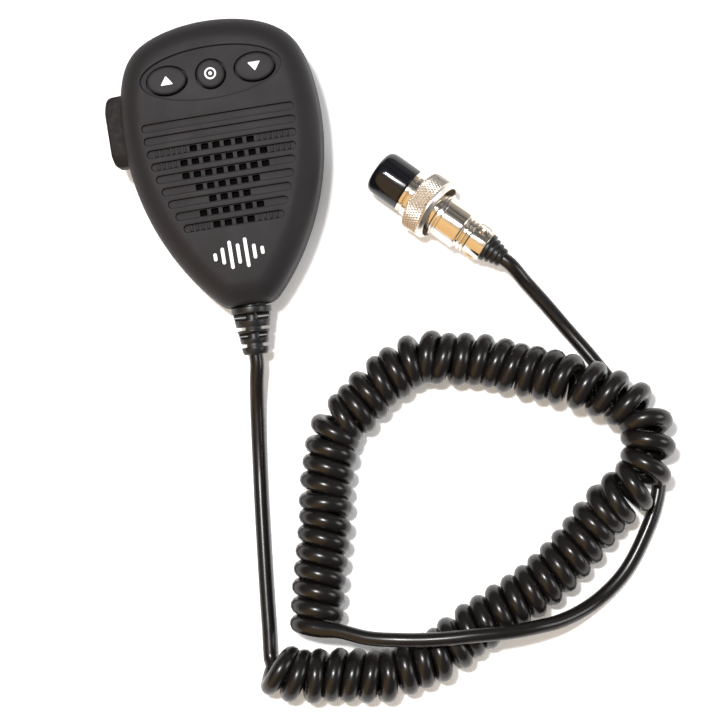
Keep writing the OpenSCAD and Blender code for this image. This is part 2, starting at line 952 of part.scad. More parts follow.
module clamp_saddle() {
    color([0.84, 0.82, 0.78])
    on_plug() on_clamp()
        difference() {
            union() {
                tube_x(clamp_x0 + 0.1, clamp_x1, 5, clamp_bore_r);
                for (s = [-1, 1])
                    translate([clamp_screw_x - 2, s * clamp_screw_y - 1.35, 0.1])
                        cube([4, 2.7, clamp_lug_z - 0.1]);
            }
            translate([clamp_x0 - 1, -7, -8])
                cube([8, 14, 8.1]);
            rod_x(clamp_x0 - 1, clamp_x1 + 1, clamp_bore_r);
            for (s = [-1, 1])
                translate([clamp_screw_x, s * clamp_screw_y, 0]) {
                    rod_z(-1, 9, clamp_screw_r + fit);
                    rod_z(clamp_lug_z, 9, clamp_head_r + 0.15);
                }
        }
}

// One screw goes in from above and one from below.
module clamp_screws() {
    color([0.86, 0.84, 0.8])
    on_plug() on_clamp()
        for (s = [-1, 1])
            translate([clamp_screw_x, s * clamp_screw_y, 0])
                rotate([s > 0 ? 0 : 180, 0, 0]) {
                    rod_z(clamp_lug_z + 2 * eps, clamp_lug_z + 1.3, clamp_head_r);
                    rod_z(-clamp_lug_z - 0.3, clamp_lug_z + 3 * eps, clamp_screw_r);
                }
}

module plug_sleeve() {
    color([0.84, 0.82, 0.79])
    on_plug()
        turned([
            [1.4, insert_r + fit], [1.4, sleeve_front_r - 0.3], [1.7, sleeve_front_r],
            [cap_l, sleeve_front_r], [cap_l + 0.1, 6.8], [cap_l + 1.2, 6.8],
            [cap_l + 1.2, 6.3], [cap_l + 1.7, 6.3], [cap_l + 1.7, 7.1],
            [sleeve_collar_x, 7.1], [sleeve_collar_x + 0.2, 6.3],
            [barrel_x0 - fit, 6.3], [barrel_x0 - fit, insert_r + fit]
        ]);
}

module plug_insert() {
    color([0.1, 0.08, 0.07])
    on_plug()
        difference() {
            rod_x(3, 22, insert_r);
            for (k = [0 : 4])
                rotate([72 * k, 0, 0])
                    translate([0, 0, contact_ring_r])
                        rod_x(2, 23, contact_r + fit);
            rod_x(2, 23, contact_r + fit);
        }
}

module plug_contacts() {
    color([0.85, 0.7, 0.35])
    on_plug() {
        for (k = [0 : 4])
            rotate([72 * k, 0, 0])
                translate([0, 0, contact_ring_r])
                    rod_x(3.5, 25, contact_r);
        rod_x(3.5, 25, contact_r);
    }
}

module plug_set_screw() {
    color([0.6, 0.6, 0.62])
    on_plug()
        translate([set_screw_x, 0, 0])
            difference() {
                rod_z(-barrel_r + 0.2, -insert_r + 0.2, 1.25);
                translate([-2, -0.2, -barrel_r - 1])
                    cube([4, 0.4, 1.7]);
            }
}

module snap_ring() {
    color([0.5, 0.5, 0.5])
    on_plug()
        difference() {
            tube_x(23.8, 24.3, 7.1, barrel_r + 0.02);
            translate([23.4, -1.2, -9])
                cube([2, 2.4, 4]);
        }
}

module slip_washer() {
    color([0.5, 0.42, 0.3])
    on_ring()
        tube_x(-0.95, -0.55, 7.9, 6.8);
}

module coupling_ring() {
    r = ring_d / 2;
    color([0.8, 0.76, 0.7])
    on_ring()
        turned([
            [-3.5, ring_bore_r], [-3.5, r - 0.6], [-ring_knurl_half, r],
            [ring_knurl_half, r], [ring_knurl_half + 1, r - 1], [3.9, r - 1],
            [3.9, ring_bore_r], [0.45, ring_bore_r], [0.45, 6.7], [-0.45, 6.7],
            [-0.45, ring_bore_r]
        ]);
}

module dust_cap() {
    r = cap_d / 2;
    color([0.05, 0.05, 0.055])
    on_plug()
        turned([
            [0, 0], [0, r - 2.4], [0.35, r - 1.3], [1, r - 0.45], [2, r - 0.1], [3, r],
            [cap_l - 0.05, r], [cap_l - 0.05, r - cap_wall], [1, r - cap_wall], [1, 0]
        ]);
}

front_shell();
rear_shell();
grille_cloth();
mic_capsule();
capsule_gasket();
capsule_leads();
circuit_board();
audio_chip();
board_capacitors();
cord_header();
harness_plug();
harness_wires();
key_switches();
up_key();
up_switch_button();
centre_key();
centre_switch_button();
down_key();
down_switch_button();
talk_lever();
lever_pin();
lever_spring();
talk_switch();
talk_switch_plunger();
hang_stud();
stud_screw();
case_screws();
cord_boot();
cord_inner();
cord_tie();
cord_lead();
cord_curl();
cord_tail();
plug_boot();
plug_barrel();
clamp_saddle();
clamp_screws();
plug_sleeve();
plug_insert();
plug_contacts();
plug_set_screw();
snap_ring();
slip_washer();
coupling_ring();
dust_cap();
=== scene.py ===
"""Looks of the hand microphone: camera, light, cord, case, keys, talk lever, boot and plug."""
import math

import bmesh
import bpy
import numpy as np
from mathutils import Matrix, Vector
from mathutils.geometry import delaunay_2d_cdt


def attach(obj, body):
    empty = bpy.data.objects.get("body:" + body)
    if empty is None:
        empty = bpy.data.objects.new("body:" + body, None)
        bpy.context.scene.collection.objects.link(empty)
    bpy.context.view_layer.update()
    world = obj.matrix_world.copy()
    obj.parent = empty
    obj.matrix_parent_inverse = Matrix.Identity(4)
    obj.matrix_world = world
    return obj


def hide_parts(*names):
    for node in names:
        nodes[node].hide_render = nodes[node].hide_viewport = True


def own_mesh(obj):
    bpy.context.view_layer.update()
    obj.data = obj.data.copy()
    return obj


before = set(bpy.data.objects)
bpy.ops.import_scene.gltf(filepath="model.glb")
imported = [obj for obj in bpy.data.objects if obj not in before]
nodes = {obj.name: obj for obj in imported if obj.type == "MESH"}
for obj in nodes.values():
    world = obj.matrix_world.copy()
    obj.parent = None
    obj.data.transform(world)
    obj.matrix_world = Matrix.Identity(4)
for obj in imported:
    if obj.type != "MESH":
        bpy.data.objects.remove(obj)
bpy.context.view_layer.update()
MM = 0.001

# ---------------------------------------------------------------- frames
# The microphone lies on its stud and its lower rear edge, so its face is tilted.
BODY_W, BODY_L, REAR_T = 60.4, 87.0, 12.0
REAR_DRAFT, REAR_ROUND_W, REAR_WALL_H = 0.4, 5.0, 6.5
BACK_INSET = REAR_DRAFT + REAR_ROUND_W
STUD_H, STUD_Y, STUD_FACE_R = 5.6, 17.0, 5.9
TILT = math.atan2(STUD_H, STUD_Y - STUD_FACE_R + BODY_L / 2 - BACK_INSET)
MIC_AT = Vector((
    2.2, -0.2,
    (REAR_T + STUD_H) * math.cos(TILT) - (STUD_Y - STUD_FACE_R) * math.sin(TILT),
))
TO_METRES = Matrix.Scale(MM, 4)
LIE = TO_METRES @ Matrix.Translation(MIC_AT) @ Matrix.Rotation(TILT, 4, "X")

# The plug's own X axis runs from the cap's tip towards the cord.
RING_R, RING_LOW_X, RING_MID, RING_COCK = 9.6, 2.8, 19.3, math.radians(10)
PLUG_Z = RING_R * math.cos(RING_COCK) + RING_LOW_X * math.sin(RING_COCK) + 0.02
PLUG = (
    TO_METRES @ Matrix.Translation((46.4, -7.7, PLUG_Z))
    @ Matrix.Rotation(math.radians(-45.2), 4, "Z")
)
PLUG_BOOT_END = 46.9
RING = PLUG @ Matrix.Translation((RING_MID, 0, 0)) @ Matrix.Rotation(-RING_COCK, 4, "Y")


# ---------------------------------------------------------------- camera and light
def add_camera():
    """A camera at the photo's angle."""
    place, aim, roll = Vector((0.0537, -0.1411, 0.6498)), Vector((0.0318, -0.0633, 0)), 8.84
    forward = (aim - place).normalized()
    level = forward.cross((0, 1, 0)).normalized()
    right = Matrix.Rotation(math.radians(roll), 3, forward) @ level
    up = right.cross(forward)
    data = bpy.data.cameras.new("camera")
    data.sensor_width = 36
    data.lens = 107.3
    data.clip_end = 20
    camera = bpy.data.objects.new("camera", data)
    bpy.context.scene.collection.objects.link(camera)
    turn = Matrix((right, up, -forward)).transposed()
    camera.matrix_world = Matrix.Translation(place) @ turn.to_4x4()
    bpy.context.scene.camera = camera


def area_light(name, at, aim, size, power, length=0):
    """A round light, or with a length an oblong one turned by 45 degrees about its aim."""
    data = bpy.data.lights.new(name, "AREA")
    data.shape = "RECTANGLE" if length else "DISK"
    data.size = size
    if length:
        data.size_y = length
    data.energy = power
    light = bpy.data.objects.new(name, data)
    light.location = at
    turn = (Vector(aim) - Vector(at)).to_track_quat("-Z", "Y")
    if length:
        turn = turn @ Matrix.Rotation(math.radians(45), 4, "Z").to_quaternion()
    light.rotation_euler = turn.to_euler()
    bpy.context.scene.collection.objects.link(light)


def set_inputs(node, **values):
    """Sets a node's inputs; From_Min stands for the input From Min."""
    for name, value in values.items():
        node.inputs[name.replace("_", " ")].default_value = value


def add_world():
    """Studio surroundings: a band across the plug's direction, warm at its south-west end."""
    world = bpy.data.worlds.new("studio")
    bpy.context.scene.world = world
    world.use_nodes = True
    tree = world.node_tree
    tree.nodes.clear()
    new, link = tree.nodes.new, tree.links.new
    coord = new("ShaderNodeTexCoord")

    def share(axis, low, high):
        dot, spread = new("ShaderNodeVectorMath"), new("ShaderNodeMapRange")
        dot.operation = "DOT_PRODUCT"
        dot.inputs[1].default_value = axis
        set_inputs(spread, From_Min=low, From_Max=high)
        link(coord.outputs["Generated"], dot.inputs[0])
        link(dot.outputs["Value"], spread.inputs["Value"])
        return spread.outputs["Result"]

    def ramp(factor, stops):
        node = new("ShaderNodeValToRGB")
        elements = node.color_ramp.elements
        elements[0].position, elements[1].position = stops[0][0], stops[-1][0]
        for place, _ in stops[1:-1]:
            elements.new(place)
        for element, (_, colour) in zip(elements, stops):
            element.color = (*colour, 1)
        link(factor, node.inputs["Fac"])
        return node.outputs["Color"]

    band = ramp(share((0.7071, 0.7071, 0), -1, 1), [
        (0.0, (0.80, 0.52, 0.24)), (0.26, (0.86, 0.58, 0.28)), (0.38, (0.42, 0.36, 0.30)),
        (0.50, (0.20, 0.195, 0.20)), (0.60, (0.20, 0.20, 0.20)), (0.72, (0.07, 0.07, 0.075)),
        (0.82, (0.20, 0.20, 0.19)), (0.88, (0.06, 0.06, 0.06)), (1.0, (0.38, 0.36, 0.33)),
    ])
    dim = (0.13, 0.13, 0.135)
    inside = ramp(share((0.7071, -0.7071, 0), -1, 1), [
        (0.18, (0, 0, 0)), (0.32, (1, 1, 1)), (0.58, (1, 1, 1)), (0.72, (0, 0, 0))])
    mixed = new("ShaderNodeMix")
    mixed.data_type = "RGBA"
    set_inputs(mixed, A=(*dim, 1))
    link(inside, mixed.inputs["Factor"])
    link(band, mixed.inputs["B"])
    background, output = new("ShaderNodeBackground"), new("ShaderNodeOutputWorld")
    set_inputs(background, Strength=1.24)
    link(mixed.outputs["Result"], background.inputs["Color"])
    link(background.outputs["Background"], output.inputs["Surface"])


add_camera()
bpy.context.scene.view_settings.view_transform = "Standard"
add_world()
KEY_AT, KEY_AIM = (-0.08, 0.06, 1.15), (0.03, -0.07, 0)
area_light("key", KEY_AT, KEY_AIM, 0.10, 11.5)
area_light("strip", KEY_AT, KEY_AIM, 0.08, 3, length=0.45)
area_light("fill", (1.1, -0.25, 0.5), (0.03, -0.05, 0), 0.5, 3.5)


# ---------------------------------------------------------------- materials
def surface(name, colour, rough, vary=0.0, rough_vary=0.0, patch=60, grain=0.0, grain_size=0.3,
            wave=0.0, wave_size=4.0, **shader):
    """A Principled material. patch is a stain's scale in 1/m, and bumps are in mm.

    shader holds any further inputs of the Principled node.
    """
    made = bpy.data.materials.new(name)
    made.use_nodes = True
    tree = made.node_tree
    new, link = tree.nodes.new, tree.links.new
    bsdf = tree.nodes["Principled BSDF"]
    set_inputs(bsdf, Base_Color=(*colour, 1), Roughness=rough, **shader)
    coord = new("ShaderNodeTexCoord")

    def noise(scale, detail):
        node = new("ShaderNodeTexNoise")
        set_inputs(node, Scale=scale, Detail=detail)
        link(coord.outputs["Object"], node.inputs["Vector"])
        return node

    if vary:
        stain = noise(patch, 5)
        tone = new("ShaderNodeMix")
        tone.data_type = "RGBA"
        set_inputs(tone, A=(*[c * (1 - vary) for c in colour], 1),
                   B=(*[min(1, c * (1 + vary)) for c in colour], 1))
        link(stain.outputs["Fac"], tone.inputs["Factor"])
        link(tone.outputs["Result"], bsdf.inputs["Base Color"])
    if rough_vary:
        smear = noise(patch * 2.3, 6)
        spread = new("ShaderNodeMapRange")
        set_inputs(spread, From_Min=0.3, From_Max=0.7, To_Min=max(0.02, rough - rough_vary),
                   To_Max=rough + rough_vary)
        link(smear.outputs["Fac"], spread.inputs["Value"])
        link(spread.outputs["Result"], bsdf.inputs["Roughness"])
    normal = None
    for depth, size, detail in ((wave, wave_size, 1), (grain, grain_size, 3)):
        if not depth:
            continue
        bump = new("ShaderNodeBump")
        set_inputs(bump, Strength=1, Distance=depth * MM)
        link(noise(1 / (size * MM), detail).outputs["Fac"], bump.inputs["Height"])
        if normal:
            link(normal, bump.inputs["Normal"])
        normal = bump.outputs["Normal"]
    if normal:
        link(normal, bsdf.inputs["Normal"])
    return made


SHEEN = {"Specular_IOR_Level": 0.22, "Specular_Tint": (1, 0.96, 0.99, 1)}
PLASTIC = surface("shell_plastic", (0.0165, 0.0152, 0.0168), 0.60, vary=0.03, rough_vary=0.03,
                  grain=0.02, grain_size=0.22, wave=0.004, wave_size=9, **SHEEN)
KEYS = surface("key_plastic", (0.0145, 0.0136, 0.0150), 0.58, vary=0.03, rough_vary=0.03,
               grain=0.008, grain_size=0.25, **SHEEN)
LEVER = surface("lever_rubber", (0.0145, 0.0115, 0.0112), 0.66, vary=0.25, rough_vary=0.08,
                patch=260, grain=0.06, grain_size=0.4, Specular_IOR_Level=0.2)
PRINT = surface("print_white", (0.86, 0.86, 0.86), 0.5, vary=0.05, patch=900)
CORD = surface("cord_pvc", (0.0075, 0.0062, 0.0060), 0.27, vary=0.1, rough_vary=0.03, patch=90,
               wave=0.01, wave_size=3, Specular_IOR_Level=0.42)
RUBBER = surface("boot_rubber", (0.0085, 0.0085, 0.0088), 0.36, vary=0.1, rough_vary=0.05,
                 patch=200, grain=0.012, grain_size=0.3, Specular_IOR_Level=0.45)
NICKEL = surface("plated_brass", (0.84, 0.77, 0.68), 0.11, vary=0.04, rough_vary=0.03, patch=220,
                 grain=0.003, grain_size=0.5, Metallic=1.0)
SATIN_NICKEL = surface("satin_nickel", (0.86, 0.79, 0.72), 0.30, vary=0.05, rough_vary=0.05,
                       patch=400, grain=0.003, grain_size=0.3, Metallic=1.0)
STEEL = surface("plated_steel", (0.60, 0.58, 0.56), 0.24, vary=0.06, rough_vary=0.06, patch=300,
                grain=0.005, grain_size=0.3, Metallic=1.0)
BLACK_STEEL = surface("black_steel", (0.02, 0.02, 0.021), 0.38, vary=0.1, rough_vary=0.08,
                      patch=400, grain=0.01, grain_size=0.3, Metallic=1.0)
CAP = surface("dust_cap_vinyl", (0.0055, 0.0055, 0.0080), 0.12, vary=0.15, rough_vary=0.03,
              patch=120, wave=0.02, wave_size=6)
CLOTH = surface("felt", (0.002, 0.002, 0.002), 0.9, vary=0.3, patch=900, grain=0.1, grain_size=0.4,
                Specular_IOR_Level=0.05)
FLOOR = surface("floor", (0.93, 0.93, 0.93), 0.9, vary=0.01, patch=4, Emission_Color=(1, 1, 1, 1),
                Emission_Strength=0.22)
INNER = {
    "aluminium": surface("capsule_alloy", (0.6, 0.6, 0.6), 0.35, rough_vary=0.08, vary=0.05,
                         grain=0.01, Metallic=1.0),
    "rubber": surface("gasket_rubber", (0.02, 0.02, 0.02), 0.7, vary=0.2, grain=0.03),
    "board": surface("board_green", (0.02, 0.12, 0.05), 0.35, vary=0.15, rough_vary=0.05,
                     grain=0.01),
    "resin": surface("black_resin", (0.015, 0.015, 0.016), 0.5, vary=0.1, grain=0.01),
    "sleeve": surface("capacitor_sleeve", (0.02, 0.03, 0.12), 0.3, vary=0.1, grain=0.005),
    "nylon": surface("nylon", (0.75, 0.72, 0.62), 0.45, vary=0.05, grain=0.01),
    "wire": surface("wire_insulation", (0.6, 0.35, 0.05), 0.4, vary=0.1, grain=0.005),
    "gold": surface("contact_metal", (0.9, 0.65, 0.28), 0.25, vary=0.05, rough_vary=0.05,
                    grain=0.004, Metallic=1.0),
    "phenolic": surface("insert_resin", (0.03, 0.02, 0.015), 0.35, vary=0.15, grain=0.008),
    "fibre": surface("fibre_washer", (0.3, 0.22, 0.12), 0.7, vary=0.15, grain=0.02),
}
# The CAD nodes of each material, as names with spaces between.
CAD_FINISH = [
    (CLOTH, "grille_cloth"),
    (INNER["aluminium"], "mic_capsule"),
    (INNER["rubber"], "capsule_gasket"),
    (INNER["wire"], "capsule_leads harness_wires"),
    (INNER["board"], "circuit_board"),
    (INNER["resin"],
     "audio_chip key_switches up_switch_button centre_switch_button down_switch_button "
     "talk_switch"),
    (INNER["sleeve"], "board_capacitors"),
    (INNER["nylon"], "cord_header harness_plug talk_switch_plunger cord_tie"),
    (STEEL, "lever_pin lever_spring hang_stud stud_screw clamp_screws plug_set_screw snap_ring"),
    (BLACK_STEEL, "case_screws"),
    (CORD, "cord_inner"),
    (PLASTIC, "front_shell rear_shell"),
    (KEYS, "up_key centre_key down_key"),
    (LEVER, "talk_lever"),
    (RUBBER, "cord_boot plug_boot"),
    (NICKEL, "plug_barrel clamp_saddle plug_sleeve coupling_ring"),
    (INNER["phenolic"], "plug_insert"),
    (INNER["gold"], "plug_contacts"),
    (INNER["fibre"], "slip_washer"),
    (CAP, "dust_cap"),
]
for finish, names in CAD_FINISH:
    for name in names.split():
        nodes[name].data.materials.clear()
        nodes[name].data.materials.append(finish)


# ---------------------------------------------------------------- cord
CORD_R = 2.15
CURL_R = 8.2
CURL_SWELL = 1.24
POINTS_PER_TURN = 20
# Turns reached at each share of the curly part's length: they spread out round the bend.
CURL_PACE = [(0, 0), (0.390, 22.5), (0.562, 30.5), (1, 56.5)]
LEAD = [
    (0.5, -64.5, 8.2), (-0.7, -71, 5.2), (-1.9, -79.9, 3.4), (-3.1, -90.4, 2.3),
    (-4.2, -101, 2.2), (-5.6, -116, 2.2), (-6.9, -131, 2.2), (-7.6, -139.9, 2.2),
    (-8.4, -148.2, 2.2),
]
CURL = [
    (-7.6, -150.9, 8.25), (-5.3, -152.3, 8.25), (-0.8, -154.6, 8.25), (9.5, -155.9, 8.25),
    (20.6, -157.8, 8.25), (26.2, -158.4, 8.25), (31.5, -157.1, 8.25), (36.8, -155.9, 8.25),
    (42.4, -154.7, 8.25), (51.3, -149.5, 8.25), (56.8, -147.3, 8.25), (61.9, -144.9, 8.25),
    (71.7, -140.4, 8.25), (80.6, -134.9, 8.25), (89.3, -127.9, 8.25), (97.4, -120.2, 9),
    (102.7, -116.9, 10.6), (108.6, -112.9, 12.2), (112, -106.6, 12.8), (112.9, -101.3, 12.8),
    (112.3, -94.3, 12.8), (107.7, -89.6, 12.8), (101.8, -85.5, 12.8), (96.9, -82.6, 12.8),
    (91.4, -80.1, 11.8), (87.2, -78.1, 10.6), (77.3, -74.2, 8.6), (72, -71.5, 8.25),
    (65.1, -69.4, 8.25), (57.7, -68.2, 8.25), (52.1, -66.6, 8.25), (45.9, -67.7, 8.25),
    (40.9, -70.3, 8.25), (36, -72.6, 8.25), (31.9, -76.1, 8.25), (27.6, -79.6, 8.25),
    (22.8, -82.7, 8.25), (20.4, -86.9, 8.25), (18.6, -92.4, 8.25), (17.1, -97.3, 8.25),
    (15.8, -102, 8.25), (15.1, -107.6, 8.25), (12.7, -117.5, 8.25), (10.3, -127, 8.25),
    (9.1, -131.9, 8.25), (8, -137.2, 8.25), (7.2, -141.5, 8.25),
]
TAIL = [
    (15.4, -143.9, 16.2), (21.9, -146.6, 17.6), (30.5, -148.5, 18.7), (38.9, -149.8, 18.8),
    (47.3, -150.5, 18.8), (52.6, -150.7, 18.6), (59.3, -151.1, 17.9), (64.9, -151.3, 16.6),
    (71.4, -151.1, 14.2), (77.9, -150.6, 10.6), (84, -149.1, 6.8), (89.2, -147, 4.2),
    (100, -139.5, 2.2), (107.6, -129.8, 2.2), (112.7, -120.8, 2.2), (114.7, -115.1, 2.2),
    (114.1, -105.8, 2.2), (110.5, -95.5, 2.2), (106.5, -83.7, 2.2), (102.1, -75.5, 2.2),
    (94.8, -63.5, 2.6), (90.4, -56.5, 4.2), (85, -48.5, 6.8),
]


def smooth_line(points, spacing):
    """Points at about that spacing along a smooth curve through the given ones."""
    p = np.array(points, float)
    t = np.concatenate([[0], np.cumsum(np.linalg.norm(np.diff(p, axis=0), axis=1))])
    slope = np.gradient(p, t, axis=0)
    out = []
    for i in range(len(p) - 1):
        h = t[i + 1] - t[i]
        steps = max(1, round(h / spacing))
        for s in np.arange(steps) / steps:
            out.append(
                (2 * s**3 - 3 * s**2 + 1) * p[i] + (s**3 - 2 * s**2 + s) * h * slope[i]
                + (3 * s**2 - 2 * s**3) * p[i + 1] + (s**3 - s**2) * h * slope[i + 1]
            )
    out.append(p[-1])
    return np.array(out)


def curl_points():
    """The curly part: a left-handed helix about the smooth line through CURL."""
    axis = smooth_line(CURL, 1.0)
    far = np.concatenate([[0], np.cumsum(np.linalg.norm(np.diff(axis, axis=0), axis=1))])
    share, pace = np.array(CURL_PACE).T
    turns = np.arange(int(pace[-1] * POINTS_PER_TURN) + 1) / POINTS_PER_TURN
    at = np.interp(turns, pace, share) * far[-1]
    centre = np.stack([np.interp(at, far, axis[:, k]) for k in range(3)], 1)
    along = np.gradient(centre, at, axis=0)
    along /= np.linalg.norm(along, axis=1)[:, None]
    side = np.cross(along, (0, 0, 1))
    side /= np.linalg.norm(side, axis=1)[:, None]
    up = np.cross(side, along)
    angle = 2 * math.pi * turns[:, None]
    radius = CURL_R - CORD_R * CURL_SWELL
    return centre + radius * (np.sin(angle) * side - np.cos(angle) * up)


def curve_piece(name, points, radius, material, body, swell):
    """A curve of one open spline through points in millimetres, each with its share of radius."""
    data = bpy.data.curves.new(name, "CURVE")
    data.dimensions = "3D"
    data.bevel_depth = radius * MM
    data.bevel_resolution = 4
    data.use_fill_caps = True
    spline = data.splines.new("POLY")
    spline.points.add(len(points) - 1)
    for point, p in zip(spline.points, points):
        point.co = (*[c * MM for c in p], 1)
    spline.points.foreach_set("radius", swell)
    spline.use_smooth = True
    data.materials.append(material)
    piece = bpy.data.objects.new(name, data)
    bpy.context.scene.collection.objects.link(piece)
    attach(piece, body)
    return piece


BOOT_L, BOOT_BEND = 14.5, math.radians(3)
BOOT = LIE @ Matrix.Translation((0, -BODY_L / 2, 0)) @ Matrix.Rotation(-BOOT_BEND, 4, "Z")


def in_mm(place, point):
    return tuple((place @ Vector(point)) / MM)


def cord_route():
    """The cord's line in millimetres, and how much it swells at each point."""
    start = [in_mm(BOOT, (0, -BOOT_L + d, 0)) for d in (1.5, 0, -3)]
    end = [in_mm(PLUG, (PLUG_BOOT_END + d, 0, 0)) for d in (1.5, 0, -1.5)]
    rows = [(*p, 1) for p in smooth_line([*start, *LEAD], 1.5)]
    rows += [(*p, CURL_SWELL) for p in curl_points()]
    rows += [(*p, 1) for p in smooth_line([*TAIL, *end], 1.5)]
    line = smooth_line(rows, 1.5)
    return line[:, :3], line[:, 3]


route, route_swell = cord_route()
cord = curve_piece("cord", route, CORD_R, CORD, "microphone", route_swell)
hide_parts("cord_lead", "cord_curl", "cord_tail")


# ---------------------------------------------------------------- mesh tools
def mesh_piece(name, verts, faces, place, material, body, slot, replaces=(), crease=40):
    """Verts are in millimetres of the frame that place leads from. Edges past crease stay sharp."""
    data = bpy.data.meshes.new(name)
    data.from_pydata([place @ Vector(v) for v in verts], [], faces)
    bm = bmesh.new()
    bm.from_mesh(data)
    bmesh.ops.remove_doubles(bm, verts=bm.verts, dist=0.002 * MM)
    bmesh.ops.recalc_face_normals(bm, faces=bm.faces)
    for face in bm.faces:
        face.smooth = True
    for edge in bm.edges:
        edge.smooth = len(edge.link_faces) != 2 or edge.calc_face_angle() < math.radians(crease)
    bm.to_mesh(data)
    bm.free()
    data.materials.append(material)
    piece = bpy.data.objects.new(name, data)
    bpy.context.scene.collection.objects.link(piece)
    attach(piece, body)
    if replaces:
        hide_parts(*replaces)
    return piece


def rounded(profile, radius, steps=4, closed=False):
    """A polyline with each inner corner rounded by an arc of that radius, or less where it must."""
    p = [np.array(q, float) for q in profile]
    out = []
    for i, corner in enumerate(p):
        if not closed and i in (0, len(p) - 1):
            out.append(tuple(corner))
            continue
        a, b = p[i - 1], p[(i + 1) % len(p)]
        u, v = a - corner, b - corner
        lu, lv = np.linalg.norm(u), np.linalg.norm(v)
        cut = min(radius, 0.45 * lu, 0.45 * lv)
        start, end = corner + u / lu * cut, corner + v / lv * cut
        for k in range(steps + 1):
            t = k / steps
            out.append(tuple((1 - t) ** 2 * start + 2 * t * (1 - t) * corner + t * t * end))
    return out


def lathe(profile, sides=96):
    """A turned skin about the X axis, from [along, radius] points. Radius 0 closes it."""
    verts, faces, rows = [], [], []
    for x, r in profile:
        if r < 1e-6:
            rows.append([len(verts)])
            verts.append((x, 0, 0))
            continue
        rows.append(list(range(len(verts), len(verts) + sides)))
        for k in range(sides):
            a = 2 * math.pi * k / sides
            verts.append((x, r * math.cos(a), r * math.sin(a)))
    for a, b in zip(rows, rows[1:]):
        for k in range(sides):
            j = (k + 1) % sides
            if len(a) == 1 and len(b) == 1:
                continue
            if len(a) == 1:
                faces.append((a[0], b[k], b[j]))
            elif len(b) == 1:
                faces.append((a[k], a[j], b[0]))
            else:
                faces.append((a[k], a[j], b[j], b[k]))
    return verts, faces


def strips(loops, close=True):
    """Faces between loops of the same number of points; returns verts and faces."""
    n = len(loops[0])
    verts = [v for loop in loops for v in loop]
    faces = []
    for i in range(len(loops) - 1):
        for k in range(n if close else n - 1):
            j = (k + 1) % n
            faces.append((i * n + k, i * n + j, (i + 1) * n + j, (i + 1) * n + k))
    return verts, faces


def add_to(verts, faces, more):
    """Adds the verts and faces in more to the lists."""
    start = len(verts)
    verts.extend(more[0])
    faces.extend(tuple(start + i for i in f) for f in more[1])


# ---------------------------------------------------------------- case shape
def ray_out(a, cx, cy, r):
    """Distance from the case's middle, along angle a, to the far side of a circle."""
    k = cx * np.cos(a) + cy * np.sin(a)
    return k + np.sqrt(k * k - cx * cx - cy * cy + r * r)


def outline_r(a, inset):
    """Distance from the case's middle to its outline, moved in by inset."""
    side_r, side_y, top_r = 78.0, 11.6, 54.0
    right = ray_out(a, BODY_W / 2 - side_r, side_y, side_r - inset)
    left = ray_out(a, side_r - BODY_W / 2, side_y, side_r - inset)
    top = ray_out(a, 0, BODY_L / 2 - top_r, top_r - inset)
    upper = (right**-14.0 + left**-14.0 + top**-14.0) ** (-1 / 14)
    bottom = (BODY_L / 2 - inset) / np.maximum(-np.sin(a), 0.001)
    return (upper**-70.0 + bottom**-70.0) ** (-1 / 70)


def outline(inset, n):
    """n points along the case's outline, moved in by inset."""
    a = 2 * math.pi * np.arange(n) / n
    return outline_r(a, inset)[:, None] * np.stack([np.cos(a), np.sin(a)], 1)


def inset_at(x, y):
    """How far inside the outline a point is."""
    x, y = np.asarray(x, float), np.asarray(y, float)
    a, r = np.arctan2(y, x), np.hypot(x, y)
    low, high = np.zeros_like(r), np.full_like(r, 42.0)
    for _ in range(30):
        middle = (low + high) / 2
        inside = outline_r(a, middle) > r
        low, high = np.where(inside, middle, low), np.where(inside, high, middle)
    return low


WALL_H, DRAFT = 5.0, 0.6
SHOULDER_W, SHOULDER_H = 7.0, 8.0


def face_height(inset):
    """Height of the front's skin at an inset beyond the upright wall."""
    e = np.clip((inset - DRAFT) / SHOULDER_W, 0, 1)
    c = np.clip((inset - DRAFT) / 19.4, 0, 1)
    return WALL_H + SHOULDER_H * np.sqrt(1 - (1 - e) ** 2) + c * c * (3 - 2 * c)


def face_z(x, y):
    return face_height(inset_at(x, y))


def on_face(loop, drop):
    """A loop laid on the front's skin, then moved by drop."""
    return [(x, y, z + drop) for (x, y), z in zip(loop, face_z(loop[:, 0], loop[:, 1]))]


def ellipse(cx, cy, a, b, n):
    t = 2 * math.pi * np.arange(n) / n
    return np.stack([cx + a * np.cos(t), cy + b * np.sin(t)], 1)


def stadium(y, length, height, grow=0.0):
    """A slot's outline: two straight sides and two round ends, moved out by grow."""
    half, r = (length - height) / 2, height / 2 + grow
    across = np.linspace(-half, half, max(3, round(2 * half / 2.0)) + 1)
    turn = np.linspace(-math.pi / 2, math.pi / 2, 11)[1:-1]
    right = [(half + r * math.cos(t), y + r * math.sin(t)) for t in turn]
    left = [(-half - r * math.cos(t), y - r * math.sin(t)) for t in turn]
    lower, upper = [(x, y - r) for x in across], [(x, y + r) for x in across[::-1]]
    return np.array([*lower, *right, *upper, *left])


def rectangle(cx, cy, w, h, grow=0.0, corner=0.35):
    """A rectangle's outline with round corners, moved out by grow."""
    w, h = w / 2 + grow, h / 2 + grow
    corners = [(cx - w, cy - h), (cx + w, cy - h), (cx + w, cy + h), (cx - w, cy + h)]
    return np.array(rounded(corners, corner, 3, True))


def inside_polygon(points, polygon):
    """Which of the points lie inside the polygon."""
    x, y = points[:, 0][:, None], points[:, 1][:, None]
    x0, y0 = polygon[:, 0], polygon[:, 1]
    x1, y1 = np.roll(x0, -1), np.roll(y0, -1)
    crosses = (y0 > y) != (y1 > y)
    with np.errstate(divide="ignore", invalid="ignore"):
        at = x0 + (y - y0) * (x1 - x0) / (y1 - y0)
    return (np.sum(crosses & (x < at), axis=1) % 2) == 1


